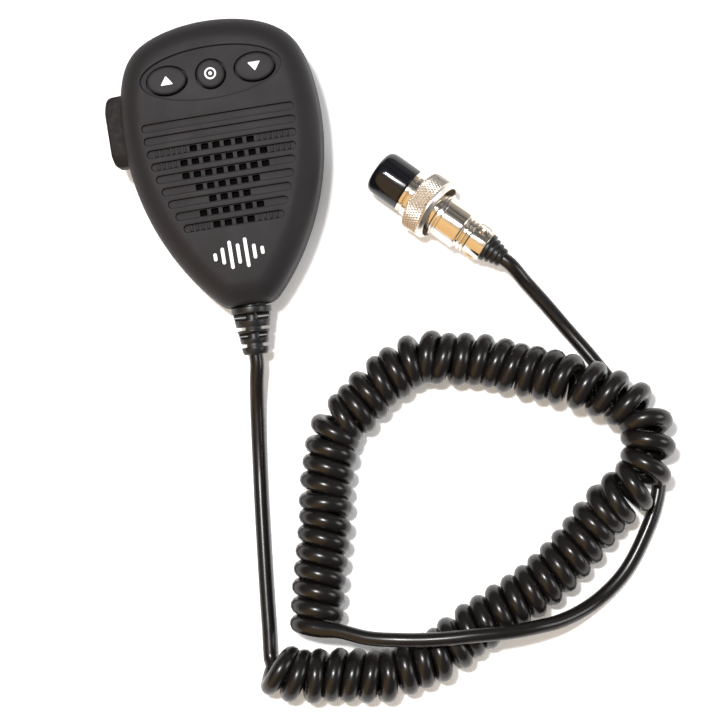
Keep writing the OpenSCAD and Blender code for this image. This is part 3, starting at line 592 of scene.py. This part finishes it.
NO_POINTS = np.zeros((0, 2))


def filled(outer, holes, inner_points, height):
    """A skin inside outer and outside holes, at height(x, y), through the inner points too."""
    loops = [np.asarray(loop) for loop in (outer, *holes)]
    points = np.concatenate([*loops, inner_points])
    edges, start = [], 0
    for loop in loops:
        n = len(loop)
        edges += [(start + k, start + (k + 1) % n) for k in range(n)]
        start += n
    made = delaunay_2d_cdt([Vector(p) for p in points], edges, [], 0, 1e-6)
    flat = np.array([tuple(v) for v in made[0]])
    triangles = np.array([f for f in made[2] if len(f) == 3])
    middle = flat[triangles].mean(axis=1)
    keep = inside_polygon(middle, loops[0])
    for hole in loops[1:]:
        keep &= ~inside_polygon(middle, hole)
    z = height(flat[:, 0], flat[:, 1])
    verts = [(x, y, h) for (x, y), h in zip(flat, z)]
    return verts, [tuple(int(i) for i in t) for t in triangles[keep]]


def clear_of(points, loops, gap):
    """The points that are further than gap from every loop's points."""
    stops = np.concatenate(loops)
    distance = np.linalg.norm(points[:, None, :] - stops[None, :, :], axis=2).min(axis=1)
    return points[distance > gap]


def grid(x0, x1, y0, y1, step):
    """Points in rows, each row half a step beside the last."""
    x, y = np.meshgrid(np.arange(x0, x1, step), np.arange(y0, y1, step))
    x = x + (np.arange(len(y)) % 2)[:, None] * step / 2
    return np.stack([x.ravel(), y.ravel()], 1)


# ---------------------------------------------------------------- front shell
RECESS_Y, RECESS_A, RECESS_B, RECESS_DEPTH = 26.3, 21.2, 7.8, 1.2
# Each key's middle in X and its half sizes.
KEY_X = 13.2
KEY_PLACES = {
    "up_key": (-KEY_X, 5.9, 4.15), "centre_key": (0.0, 4.2, 4.2), "down_key": (KEY_X, 5.9, 4.15)}
KEY_Y, KEY_GAP, KEY_HOLE_BOTTOM = 25.9, 0.35, -2.9
SLOT_ROWS, SLOT_PITCH, SLOT_TOP, SLOT_H, SLOT_L, SLOT_DEPTH = 9, 3.89, 12.8, 2.35, 45.7, 1.2
SLOT_TAPER = 0.243
OPEN_HOLES = (0, 0, 6, 8, 8, 6, 4, 6, 4)
HOLE_W, HOLE_PITCH, HOLE_H = 2.3, 3.41, SLOT_H - 0.5
HOLE_BOTTOM = -2.95
RIBBED_ROWS = (2, 3, 8)
RIB_W, RIB_H = 0.75, SLOT_H - 0.6
PLATE_INSET = 5.0
# Points round the case, round the recess and round a key.
FRONT_N, RECESS_N, KEY_N = 240, 120, 72
# How a sunk shape's rim rolls over: how far out, and how far down.
EDGE = [(0.15, 0.0), (0.06, -0.02), (0.01, -0.07), (-0.01, -0.18)]

LEVER_Y, LEVER_L, LEVER_HALF, LEVER_OUT = 3.6, 21.4, 6.0, 3.7
OPENING = (LEVER_Y - 0.9, LEVER_Y + LEVER_L + 0.6, LEVER_HALF + 0.3)


def shell_wall(rings):
    """A shell's outer wall through rings of [height, inset], less the lever's opening."""
    verts, faces = strips([
        [(x, y, z) for x, y in outline(inset, FRONT_N)] for z, inset in rings])
    low, high, top = OPENING
    kept = []
    for face in faces:
        x, y, z = np.mean([verts[i] for i in face], axis=0)
        if x > 0 or not low < y < high or abs(z) > top:
            kept.append(face)
    return verts, kept


def slot_place(row):
    """A slot's Y and its length."""
    return SLOT_TOP - SLOT_PITCH * row, SLOT_L - SLOT_TAPER * row * row


def recess_edge(grow):
    return ellipse(0, RECESS_Y, RECESS_A + grow, RECESS_B + grow, RECESS_N)


def key_hole(x, a, b, grow):
    return ellipse(x, KEY_Y, a + KEY_GAP + grow, b + KEY_GAP + grow, KEY_N)


def add_steps(verts, faces, shape, steps):
    """Walls on the face, through shape(grow) for each [grow, drop]. Returns the last loop."""
    loops = [on_face(shape(grow), drop) for grow, drop in steps]
    add_to(verts, faces, strips(loops))
    return loops[-1]


def add_slot(verts, faces, row):
    """A rounded groove across the face, with ribs or holes in its floor."""
    y, length = slot_place(row)
    floor_grow = -0.22
    add_steps(verts, faces, lambda grow: stadium(y, length, SLOT_H, grow), [
        *EDGE, (-0.06, -SLOT_DEPTH + 0.14), (-0.12, -SLOT_DEPTH + 0.03), (floor_grow, -SLOT_DEPTH)])
    count = OPEN_HOLES[row]
    if row in RIBBED_ROWS:
        ribs = np.arange(count / 2 + 0.25, (length / 2 - 1.2) / HOLE_PITCH, 0.5) * HOLE_PITCH
        for x in [*ribs, *-ribs]:
            top = add_steps(
                verts, faces, lambda grow: rectangle(x, y, RIB_W, RIB_H, grow, 0.1), [
                    (0.1, -SLOT_DEPTH), (0.05, -SLOT_DEPTH + 0.42), (-0.05, -SLOT_DEPTH + 0.5)])
            faces.append(tuple(range(len(verts) - len(top), len(verts))))
    middles = [HOLE_PITCH * (k - (count - 1) / 2) for k in range(count)]
    holes = [rectangle(x, y, HOLE_W, HOLE_H) for x in middles]
    add_to(verts, faces, filled(
        stadium(y, length, SLOT_H, floor_grow), holes, NO_POINTS,
        lambda u, v: face_z(u, v) - SLOT_DEPTH))
    for x in middles:
        add_steps(verts, faces, lambda grow: rectangle(x, y, HOLE_W, HOLE_H, grow),
                  [(0, -SLOT_DEPTH), (-0.04, -SLOT_DEPTH - 0.06), (-0.06, HOLE_BOTTOM)])


def front_shell():
    verts, faces = [], []
    rings = [(0.0, 2.0), (0.0, 0.45), (0.12, 0.18), (0.4, 0.06), (0.9, 0.1)]
    rings += [(z, DRAFT * z / WALL_H) for z in (2.0, 3.5)]
    rings += [(float(face_height(DRAFT + i)), DRAFT + i)
              for i in (0, 0.03, 0.12, 0.27, 0.48, 0.75, 1.07, 1.45, 1.9, 2.4, 2.95, 3.55, 4.0)]
    rings += [(float(face_height(PLATE_INSET)), PLATE_INSET)]
    add_to(verts, faces, shell_wall(rings))

    rim = EDGE[0][0]
    features = [recess_edge(rim)]
    for row in range(SLOT_ROWS):
        features.append(stadium(*slot_place(row), SLOT_H, rim))
    plate = outline(PLATE_INSET, FRONT_N)
    guides = np.concatenate([
        *[outline(i, 150) for i in (5.6, 6.3, 7.1, 8.1, 9.3)], grid(-26, 26, -34, 36, 1.6)])
    guides = guides[inset_at(guides[:, 0], guides[:, 1]) > PLATE_INSET + 0.4]
    for feature in features:
        guides = guides[~inside_polygon(guides, feature)]
    guides = clear_of(guides, [plate, *features], 0.7)
    add_to(verts, faces, filled(plate, features, guides, face_z))

    # Recess: a rounded step down to a floor with a hole for each key.
    add_steps(verts, faces, recess_edge,
              [*EDGE, (-0.06, -RECESS_DEPTH + 0.12), (-0.2, -RECESS_DEPTH)])
    floor_edge = recess_edge(-0.2)
    keys = KEY_PLACES.values()
    holes = [key_hole(*key, 0.12) for key in keys]
    inner = grid(-21, 21, 18, 35, 1.6)
    inner = inner[inside_polygon(inner, floor_edge)]
    for hole in holes:
        inner = inner[~inside_polygon(inner, hole)]
    inner = clear_of(inner, [floor_edge, *holes], 0.9)
    inner = np.concatenate([inner, recess_edge(-0.5), *[key_hole(*key, 0.4) for key in keys]])
    add_to(verts, faces, filled(
        floor_edge, holes, inner, lambda x, y: face_z(x, y) - RECESS_DEPTH))
    for key in keys:
        add_steps(verts, faces, lambda grow: key_hole(*key, grow), [
            (0.12, -RECESS_DEPTH), (0.04, -RECESS_DEPTH - 0.04), (0.0, -RECESS_DEPTH - 0.14),
            (0.0, KEY_HOLE_BOTTOM)])
    for row in range(SLOT_ROWS):
        add_slot(verts, faces, row)
    return mesh_piece("front_case", verts, faces, LIE, PLASTIC, "microphone", "shell_plastic",
                      ["front_shell"], crease=50)


front_shell()


# ---------------------------------------------------------------- rear shell
def rear_level(inset):
    """Height of the rear's skin beyond its upright wall."""
    e = np.clip((inset - REAR_DRAFT) / REAR_ROUND_W, 0, 1)
    return -REAR_WALL_H - (REAR_T - REAR_WALL_H) * np.sqrt(1 - (1 - e) ** 2)


def circle(cx, cy, r, n=48):
    return ellipse(cx, cy, r, r, n)


def at_z(loop, z):
    return [(float(x), float(y), z) for x, y in loop]


SCREWS = [(-9, 35), (9, 35), (-12, -26), (12, -26)]
SCREW_WELL = [(3.15, -12.0), (3.0, -11.95), (2.92, -11.8), (2.9, -11.6), (2.9, -8.6), (1.5, -8.6)]


def rear_shell():
    verts, faces = [], []
    rings = [(0.0, 2.0), (-0.02, 0.45), (-0.14, 0.18), (-0.4, 0.05), (-1.0, 0.05)]
    rings += [(-REAR_WALL_H * t, REAR_DRAFT * t) for t in (0.35, 0.7)]
    rings += [(float(rear_level(REAR_DRAFT + i)), REAR_DRAFT + i)
              for i in (0, 0.02, 0.08, 0.2, 0.4, 0.66, 1.0, 1.4, 1.9, 2.5, 3.2, 4.0, 5.0)]
    add_to(verts, faces, shell_wall(rings))
    edge = outline(BACK_INSET, FRONT_N)
    holes = [circle(x, y, SCREW_WELL[0][0]) for x, y in SCREWS]
    inner = grid(-24, 24, -37, 38, 3.0)
    inner = inner[inset_at(inner[:, 0], inner[:, 1]) > 6.4]
    for hole in holes:
        inner = inner[~inside_polygon(inner, hole)]
    inner = clear_of(inner, [edge, *holes], 1.2)
    add_to(verts, faces, filled(edge, holes, inner, lambda x, y: np.full(len(x), -REAR_T)))
    for x, y in SCREWS:
        add_to(verts, faces, strips([at_z(circle(x, y, r), z) for r, z in SCREW_WELL]))
    return mesh_piece("rear_case", verts, faces, LIE, PLASTIC, "microphone", "shell_plastic",
                      ["rear_shell"], crease=50)


rear_shell()


# ---------------------------------------------------------------- keys and prints
def closed_loft(loops):
    """Strips through the loops, with both ends shut."""
    verts, faces = strips(loops)
    n = len(loops[0])
    faces.append(tuple(range(n)))
    faces.append(tuple(range(len(verts) - n, len(verts))))
    return verts, faces


KEY_TOP, FLANGE_Z, STEM_R, STEM_Z = 13.9, 9.7, 1.7, 6.8
# A key's side, from its hidden flange to its crowned top: how far out, and the height.
KEY_STEPS = [
    (1.0, FLANGE_Z), (1.0, FLANGE_Z + 1), (0.0, FLANGE_Z + 1), (0.0, 13.2), (-0.02, 13.42),
    (-0.10, 13.62), (-0.26, 13.77), (-0.52, 13.86), (-1.0, KEY_TOP), (-2.0, 13.91), (-3.2, 13.90),
]


def key_cap(node):
    x, a, b = KEY_PLACES[node]
    verts, faces = closed_loft([
        at_z(ellipse(x, KEY_Y, a + grow, b + grow, KEY_N), z) for grow, z in KEY_STEPS])
    stem = circle(x, KEY_Y, STEM_R, 24)
    add_to(verts, faces, closed_loft([at_z(stem, STEM_Z), at_z(stem, FLANGE_Z + 0.5)]))
    mesh_piece(node + "_cap", verts, faces, LIE, KEYS, node, "key_plastic", [node], crease=50)


def print_piece(name, shapes, height, body):
    """A white pad print: each shape is an outline with its holes, a hair above the surface."""
    proud, sunk = 0.04, 0.1
    verts, faces = [], []
    for outer, holes in shapes:
        add_to(verts, faces, filled(outer, holes, NO_POINTS, lambda x, y: height(x, y) + proud))
        for loop in (outer, *holes):
            z = height(loop[:, 0], loop[:, 1])
            add_to(verts, faces, strips([
                [(x, y, h + lift) for (x, y), h in zip(loop, z)] for lift in (proud, -sunk)]))
    mesh_piece(name, verts, faces, LIE, PRINT, body, "print_white")


def triangle(x, y, half, tall):
    """A triangle with round corners, upside down if tall is below 0."""
    corners = [(x - half, y - tall / 2), (x + half, y - tall / 2), (x, y + tall / 2)]
    return np.array(rounded(corners, 0.35, 3, True))


def key_height(x, y):
    return np.full(len(x), KEY_TOP + 0.005)


for key_node in KEY_PLACES:
    key_cap(key_node)
print_piece("up_mark", [(triangle(-KEY_X, KEY_Y, 1.9, 2.7), [])], key_height, "up_key")
print_piece("centre_mark", [
    (circle(0, KEY_Y, 1.75, 40), [circle(0, KEY_Y, 1.25, 32)]), (circle(0, KEY_Y, 0.55, 20), []),
], key_height, "centre_key")
print_piece("down_mark", [(triangle(KEY_X, KEY_Y, 1.9, -2.7), [])], key_height, "down_key")


def bar(x, y, width, tall):
    """An upright bar with round ends."""
    r, half = width / 2, tall / 2 - width / 2
    t = np.linspace(0, math.pi, 9)
    side = np.linspace(half, -half, max(2, round(tall / 0.8)))[1:-1]
    left = np.stack([np.full(len(side), -r), side], 1)
    top = np.stack([r * np.cos(t), half + r * np.sin(t)], 1)
    return np.concatenate([top, left, -top, -left]) + (x, y)


MARK_Y, BAR_PITCH, BAR_W = -28.0, 2.35, 1.05
BARS = (2.4, 5.0, 8.4, 6.0, 8.8, 4.4, 2.4)
print_piece("face_mark", [
    (bar(BAR_PITCH * (k - (len(BARS) - 1) / 2), MARK_Y, BAR_W, tall), [])
    for k, tall in enumerate(BARS)], face_z, "microphone")


# ---------------------------------------------------------------- talk lever
LEVER_CREASE = LEVER_Y + 3.4


def lever_outline(inset):
    """The lever's outline in plan, moved in by inset at its outer side and ends."""
    out = -(BODY_W / 2 + LEVER_OUT) + inset
    low, high = LEVER_Y + inset, LEVER_Y + LEVER_L - inset
    inner = -26.0
    corner = 3.2 - inset
    edge = [(inner, low), (inner, high), (out + 1.2, high - 0.25), (out, high - 4.2),
            (out, low + 3.4), (out + 0.8, low)]
    path = [edge[0], edge[1]]
    for i in (2, 3, 4, 5):
        before, here, after = (np.array(edge[k % 6]) for k in (i - 1, i, i + 1))
        u, v = before - here, after - here
        cut = min(corner, 0.45 * np.linalg.norm(u), 0.45 * np.linalg.norm(v))
        a, b = here + u / np.linalg.norm(u) * cut, here + v / np.linalg.norm(v) * cut
        for t in np.linspace(0, 1, 7):
            path.append(tuple((1 - t) ** 2 * a + 2 * t * (1 - t) * here + t * t * b))
    return np.array(path)


def lever_height(x, y):
    """The lever's skin is flat, then slopes away below a crease near its lower end."""
    return LEVER_HALF - 0.42 * np.maximum(0, LEVER_CREASE - np.asarray(y))


def talk_lever():
    verts, faces = [], []
    rims = [(0.85, 0.0), (0.5, 0.06), (0.22, 0.22), (0.05, 0.55), (0.0, 1.0)]
    loops = []
    for inset, drop in rims:
        edge = lever_outline(inset)
        heights = lever_height(edge[:, 0], edge[:, 1])
        loops.append([(x, y, h - drop) for (x, y), h in zip(edge, heights)])
    loops += [[(x, y, -z) for x, y, z in loop] for loop in reversed(loops)]
    add_to(verts, faces, strips(loops))
    top = lever_outline(rims[0][0])
    inner_y = (*(LEVER_CREASE + d for d in (-1.6, -0.05, 0.05, 2)), 12, 18)
    inner = np.array([(x, y) for x in np.arange(-32, -26.2, 1.0) for y in inner_y])
    inner = clear_of(inner[inside_polygon(inner, top)], [top], 0.4)
    for side in (1, -1):
        add_to(verts, faces, filled(top, [], inner, lambda x, y: side * lever_height(x, y)))
    plate = rectangle(-25.6, LEVER_Y + LEVER_L / 2 - 1.5, 2.0, LEVER_L + 3, 0, 0.3)
    add_to(verts, faces, closed_loft([at_z(plate, -LEVER_HALF), at_z(plate, LEVER_HALF)]))
    pivot = circle(-25.2, 22.5, 2.6, 32)
    add_to(verts, faces, closed_loft([at_z(pivot, -LEVER_HALF), at_z(pivot, LEVER_HALF)]))
    mesh_piece("lever_skin", verts, faces, LIE, LEVER, "talk_lever", "lever_rubber", ["talk_lever"],
               crease=32)


def lever_spring():
    """The coil behind the lever, which the lever presses against its inner end."""
    turns, coil_r, wire_r = 6, 1.9, 0.22
    outer_x, inner_x, y, z = -24.5, -19.35, 14, -2.6
    t = np.linspace(0, 1, turns * 20 + 1)
    a = 2 * math.pi * turns * t
    x = outer_x + wire_r + (inner_x - outer_x - 2 * wire_r) * t
    line = np.stack([x, y + coil_r * np.cos(a), z + coil_r * np.sin(a)], 1)
    out = np.stack([0 * a, np.cos(a), np.sin(a)], 1)
    loops = [
        [tuple(p + wire_r * (math.cos(b) * o + math.sin(b) * np.array((1, 0, 0))))
         for b in np.linspace(0, 2 * math.pi, 9)[:-1]]
        for p, o in zip(line, out)]
    coil = mesh_piece("spring_coil", *closed_loft(loops), LIE, STEEL, "microphone", "plated_steel",
                      ["lever_spring"])
    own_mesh(coil)


talk_lever()
lever_spring()


# ---------------------------------------------------------------- cord boot
def web(x0, x1, r0, r1, half, upright):
    """A web across the boot: a disc cut on two sides, thinnest midway along."""
    loops = []
    for t in np.linspace(0, 1, 9):
        r = r0 + (r1 - r0) * t
        here = half + 0.5 * (2 * t - 1) ** 2
        lean = math.asin(here / r)
        angles = np.linspace(-lean, lean, 9)
        u = np.concatenate([r * np.cos(angles), -r * np.cos(angles)])
        w = np.concatenate([r * np.sin(angles), -r * np.sin(angles)])
        x = x0 + (x1 - x0) * t
        loops.append([(x, b, a) if upright else (x, a, b) for a, b in zip(u, w)])
    return closed_loft(loops)


def cord_boot():
    place = BOOT @ Matrix.Rotation(math.radians(-90), 4, "Z")
    taper_x, taper_r = (2.1, 6.1, 7.1, 11.2, 12.2, 13.8), (5.85, 5.1, 5.0, 4.1, 4.1, 3.8)
    web_half, core_r, soft = 1.75, 2.5, 0.28
    verts, faces = [], []
    collar = [(-4.2, 0), (-4.2, 5.6), (-2.8, 5.6), (-2.8, 4.6), (0.05, 4.6), (0.05, 6.15),
              (2.0, 6.05), (2.0, 0)]
    add_to(verts, faces, lathe(rounded(collar, soft), 72))
    for x0, x1 in ((4.1, 6.1), (7.1, 7.9), (9.6, 11.2)):
        r0, r1 = np.interp((x0, x1), taper_x, taper_r)
        add_to(verts, faces, lathe(rounded([(x0, 0), (x0, r0), (x1, r1), (x1, 0)], soft), 72))
    last = [(12.2, 0), (12.2, 4.15), (13.8, 3.85), (BOOT_L, 3.4), (BOOT_L, 0)]
    add_to(verts, faces, lathe(rounded(last, 0.4), 72))
    webs = [(1.9, 4.2, False), (6.0, 7.2, True), (7.8, 9.7, False), (11.1, 12.3, True)]
    for x0, x1, upright in webs:
        r0, r1 = np.interp((x0, x1), taper_x, taper_r) - 0.1
        add_to(verts, faces, web(x0, x1, r0, r1, web_half, upright))
    add_to(verts, faces, lathe([(1, 0), (1, core_r), (13, core_r), (13, 0)], 48))
    mesh_piece("boot_skin", verts, faces, place, RUBBER, "microphone", "boot_rubber", ["cord_boot"])


cord_boot()


# ---------------------------------------------------------------- plug
def turned(profile, soft, steps=4, sides=96):
    """A turned solid with eased corners. A profile that starts off the axis is a closed ring."""
    is_ring = profile[0][1] > 0
    verts, faces = lathe(rounded(profile, soft, steps, is_ring), sides)
    if is_ring:
        last = len(verts) - sides
        for k in range(sides):
            j = (k + 1) % sides
            faces.append((last + k, last + j, j, k))
    return verts, faces


CAP_L, CAP_R = 11.3, 7.0
BARREL_X0, BARREL_X1 = 23.0, 32.1
CLAMP_X0 = BARREL_X1 + 3
CLAMP_X1 = CLAMP_X0 + 5.6
CLAMP_SCREW_X, CLAMP_SCREW_Y, CLAMP_LUG_Z, LUG_GAP = CLAMP_X0 + 2.6, 4.35, 1.6, 0.08
CLAMP_ROLL = math.radians(40)


def dust_cap():
    rim, hollow_r = CAP_L - 0.05, CAP_R - 0.95
    outer = [(0, 0), (0, 4.6), (0.32, 5.65), (0.95, 6.45), (1.9, 6.85), (3.2, CAP_R)]
    wall = [(rim, CAP_R), (rim, hollow_r), (1, hollow_r), (1, 0)]
    mesh_piece("vinyl_cap", *turned(outer + wall, 0.7), PLUG, CAP, "dust_cap", "dust_cap_vinyl",
               ["dust_cap"])


def plug_sleeve():
    profile = [
        (1.4, 4.95), (1.4, 5.6), (1.7, 5.95), (CAP_L, 5.95), (CAP_L + 0.1, 6.8), (CAP_L + 1.2, 6.8),
        (CAP_L + 1.2, 6.3), (CAP_L + 1.7, 6.3), (CAP_L + 1.7, 7.1), (16.2, 7.1), (16.4, 6.3),
        (22.95, 6.3), (22.95, 4.95),
    ]
    mesh_piece("sleeve_skin", *turned(profile, 0.14), PLUG, NICKEL, "microphone", "plated_brass",
               ["plug_sleeve"])


KNURLS, KNURL_DEPTH, KNURL_LEAD = 60, 0.3, 1.6


def coupling_ring():
    """The ring with its diamond knurl cut in, and a plain lip behind it."""
    sides = KNURLS * 6
    front, back = -3.15, 2.2
    rows = [(-3.5, 8.3, 0), (-3.5, 9.0, 0), (-3.3, 9.3, 0)]
    rows += [(float(x), RING_R, 1) for x in np.arange(front, back + 0.01, 0.16)]
    rows += [(2.3, 9.3, 0), (2.42, 9.5, 0), (2.55, 9.58, 0), (2.8, 9.55, 0), (3.3, 9.05, 0),
             (3.75, 8.62, 0), (3.88, 8.4, 0), (3.75, 8.22, 0), (3.6, 8.2, 0), (0.45, 8.2, 0),
             (0.45, 6.7, 0), (-0.45, 6.7, 0), (-0.45, 8.2, 0), (-3.3, 8.2, 0)]
    verts = []
    for x, r, knurled in rows:
        for k in range(sides):
            a = 2 * math.pi * k / sides
            cut = 0.0
            if knurled:
                turn, shift = KNURLS * k / sides, (x - front) / KNURL_LEAD
                waves = [abs(2 * ((turn + s * shift) % 1) - 1) for s in (1, -1)]
                cut = KNURL_DEPTH * (1 - min(1, 1.3 * min(waves)))
                cut *= min(1, 0.35 + (x - front) / 0.5, 0.35 + (back - x) / 0.5)
            verts.append((x, (r - cut) * math.cos(a), (r - cut) * math.sin(a)))
    faces = []
    for i in range(len(rows)):
        j = (i + 1) % len(rows)
        for k in range(sides):
            m = (k + 1) % sides
            faces.append((i * sides + k, i * sides + m, j * sides + m, j * sides + k))
    mesh_piece("knurled_ring", verts, faces, RING, SATIN_NICKEL, "coupling_ring", "plated_brass",
               ["coupling_ring"], crease=20)


def rolled(skin):
    """A skin turned about the plug's axis by the clamp's roll."""
    c, s = math.cos(CLAMP_ROLL), math.sin(CLAMP_ROLL)
    return [(x, c * y - s * z, s * y + c * z) for x, y, z in skin[0]], skin[1]


def clamp_half(x0, start, z0, z1):
    """Half of the clamp: an arc round the cord from the angle start, and a lug for each screw."""
    r_in, r_out, gap, soft = 3.05, 5, 0.02, 0.16
    section = rounded([(x0, r_in), (CLAMP_X1, r_in), (CLAMP_X1, r_out), (x0, r_out)], 0.18, 3, True)
    verts, faces = closed_loft([
        [(x, r * math.cos(a), r * math.sin(a)) for x, r in section]
        for a in np.linspace(start + gap, start + math.pi - gap, 28)])
    steps = [(-soft, z0), (0, z0 + soft), (0, z1 - soft), (-soft, z1)]
    for y in (-CLAMP_SCREW_Y, CLAMP_SCREW_Y):
        add_to(verts, faces, closed_loft([
            at_z(rectangle(CLAMP_SCREW_X, y, 4, 2.9, grow, 1.1), z) for grow, z in steps]))
    return rolled((verts, faces))


def plug_barrel():
    x0, x1 = BARREL_X0, BARREL_X1
    profile = [
        (x0, 5), (x0, 6.35), (x0 + 0.25, 6.5), (x0 + 1.9, 6.5), (x0 + 2.0, 6.38), (x0 + 2.1, 6.5),
        (x1 - 0.2, 6.5), (x1, 6.3), (x1, 5.7), (x1 + 0.6, 5.7), (x1 + 0.6, 5.1), (x1 + 1.1, 5.1),
        (x1 + 1.1, 5.7), (x1 + 1.9, 5.7), (x1 + 1.9, 5.1), (x1 + 2.4, 5.1), (x1 + 2.4, 5.7),
        (CLAMP_X0, 5.7), (CLAMP_X0, 3.1), (x1 + 0.6, 3.1), (x1 + 0.6, 5),
    ]
    verts, faces = turned(profile, 0.12, 3)
    add_to(verts, faces, clamp_half(CLAMP_X0 - 0.1, math.pi, -CLAMP_LUG_Z, -LUG_GAP))
    mesh_piece("barrel_skin", verts, faces, PLUG, NICKEL, "microphone", "plated_brass",
               ["plug_barrel"], crease=35)


def clamp_saddle():
    verts, faces = clamp_half(CLAMP_X0 + 0.1, 0, LUG_GAP, CLAMP_LUG_Z)
    mesh_piece("saddle_skin", verts, faces, PLUG, NICKEL, "microphone", "plated_brass",
               ["clamp_saddle"], crease=35)


def cross(cx, cy, reach, half):
    steps = [(half, reach), (-half, reach), (-half, half), (-reach, half), (-reach, -half),
             (-half, -half), (-half, -reach), (half, -reach), (half, -half), (reach, -half),
             (reach, half), (half, half)]
    return np.array(steps) + (cx, cy)


def clamp_screws():
    """Round-headed cross-slot screws: one from above, one from below."""
    head_r, edge_h, dome, reach, half, deep = 1.75, 0.55, 0.75, 1.15, 0.24, 0.7
    seat = CLAMP_LUG_Z + 0.02

    def skin(x, y):
        d2 = ((np.asarray(x) - CLAMP_SCREW_X) ** 2 + (np.asarray(y)) ** 2) / head_r**2
        return seat + edge_h + dome * (1 - np.clip(d2, 0, 1))

    rim = circle(CLAMP_SCREW_X, 0, head_r)
    slot = cross(CLAMP_SCREW_X, 0, reach, half)
    inner = np.concatenate([circle(CLAMP_SCREW_X, 0, r, 40) for r in (1.62, 1.4)])
    screw_verts, screw_faces = filled(rim, [slot], inner, skin)
    top = [(x, y, float(z)) for (x, y), z in zip(slot, skin(slot[:, 0], slot[:, 1]))]
    low = [(x, y, z - deep) for x, y, z in top]
    base = at_z(rim, seat)
    shank = circle(CLAMP_SCREW_X, 0, 0.8, 24)
    for more in (
        strips([top, low]), (low, [tuple(range(len(low)))]),
        strips([at_z(rim, seat + edge_h), base]), (base, [tuple(range(len(base)))]),
        closed_loft([at_z(shank, -CLAMP_LUG_Z - 0.3), at_z(shank, seat + 0.1)]),
    ):
        add_to(screw_verts, screw_faces, more)
    verts, faces = [], []
    for s in (1, -1):
        placed = [(x, s * (y + CLAMP_SCREW_Y), s * z) for x, y, z in screw_verts]
        add_to(verts, faces, rolled((placed, screw_faces)))
    mesh_piece("clamp_screw_skin", verts, faces, PLUG, STEEL, "microphone", "plated_steel",
               ["clamp_screws"], crease=35)


def plug_boot():
    x0 = CLAMP_X1 + 0.05
    profile = [
        (CLAMP_X0 + 0.2, 0), (CLAMP_X0 + 0.2, 3), (x0, 3), (x0, 4.5), (x0 + 1.2, 4.4),
        (x0 + 1.2, 3.4), (x0 + 1.7, 3.4), (x0 + 1.7, 3.9), (x0 + 2.8, 3.8), (x0 + 2.8, 3.1),
        (x0 + 3.3, 3.1), (x0 + 3.3, 3.45), (x0 + 4.4, 3.35), (x0 + 4.4, 2.8), (x0 + 4.9, 2.8),
        (x0 + 4.9, 3.05), (PLUG_BOOT_END, 2.8), (PLUG_BOOT_END, 0),
    ]
    mesh_piece("plug_boot_skin", *turned(profile, 0.3), PLUG, RUBBER, "microphone", "boot_rubber",
               ["plug_boot"])


dust_cap()
plug_sleeve()
coupling_ring()
plug_barrel()
clamp_saddle()
clamp_screws()
plug_boot()


# ---------------------------------------------------------------- finish
def add_floor():
    half = 3.0
    data = bpy.data.meshes.new("floor")
    data.from_pydata(
        [(-half, -half, 0), (half, -half, 0), (half, half, 0), (-half, half, 0)], [],
        [(0, 1, 2, 3)])
    data.materials.append(FLOOR)
    floor = bpy.data.objects.new("floor", data)
    bpy.context.scene.collection.objects.link(floor)


add_floor()
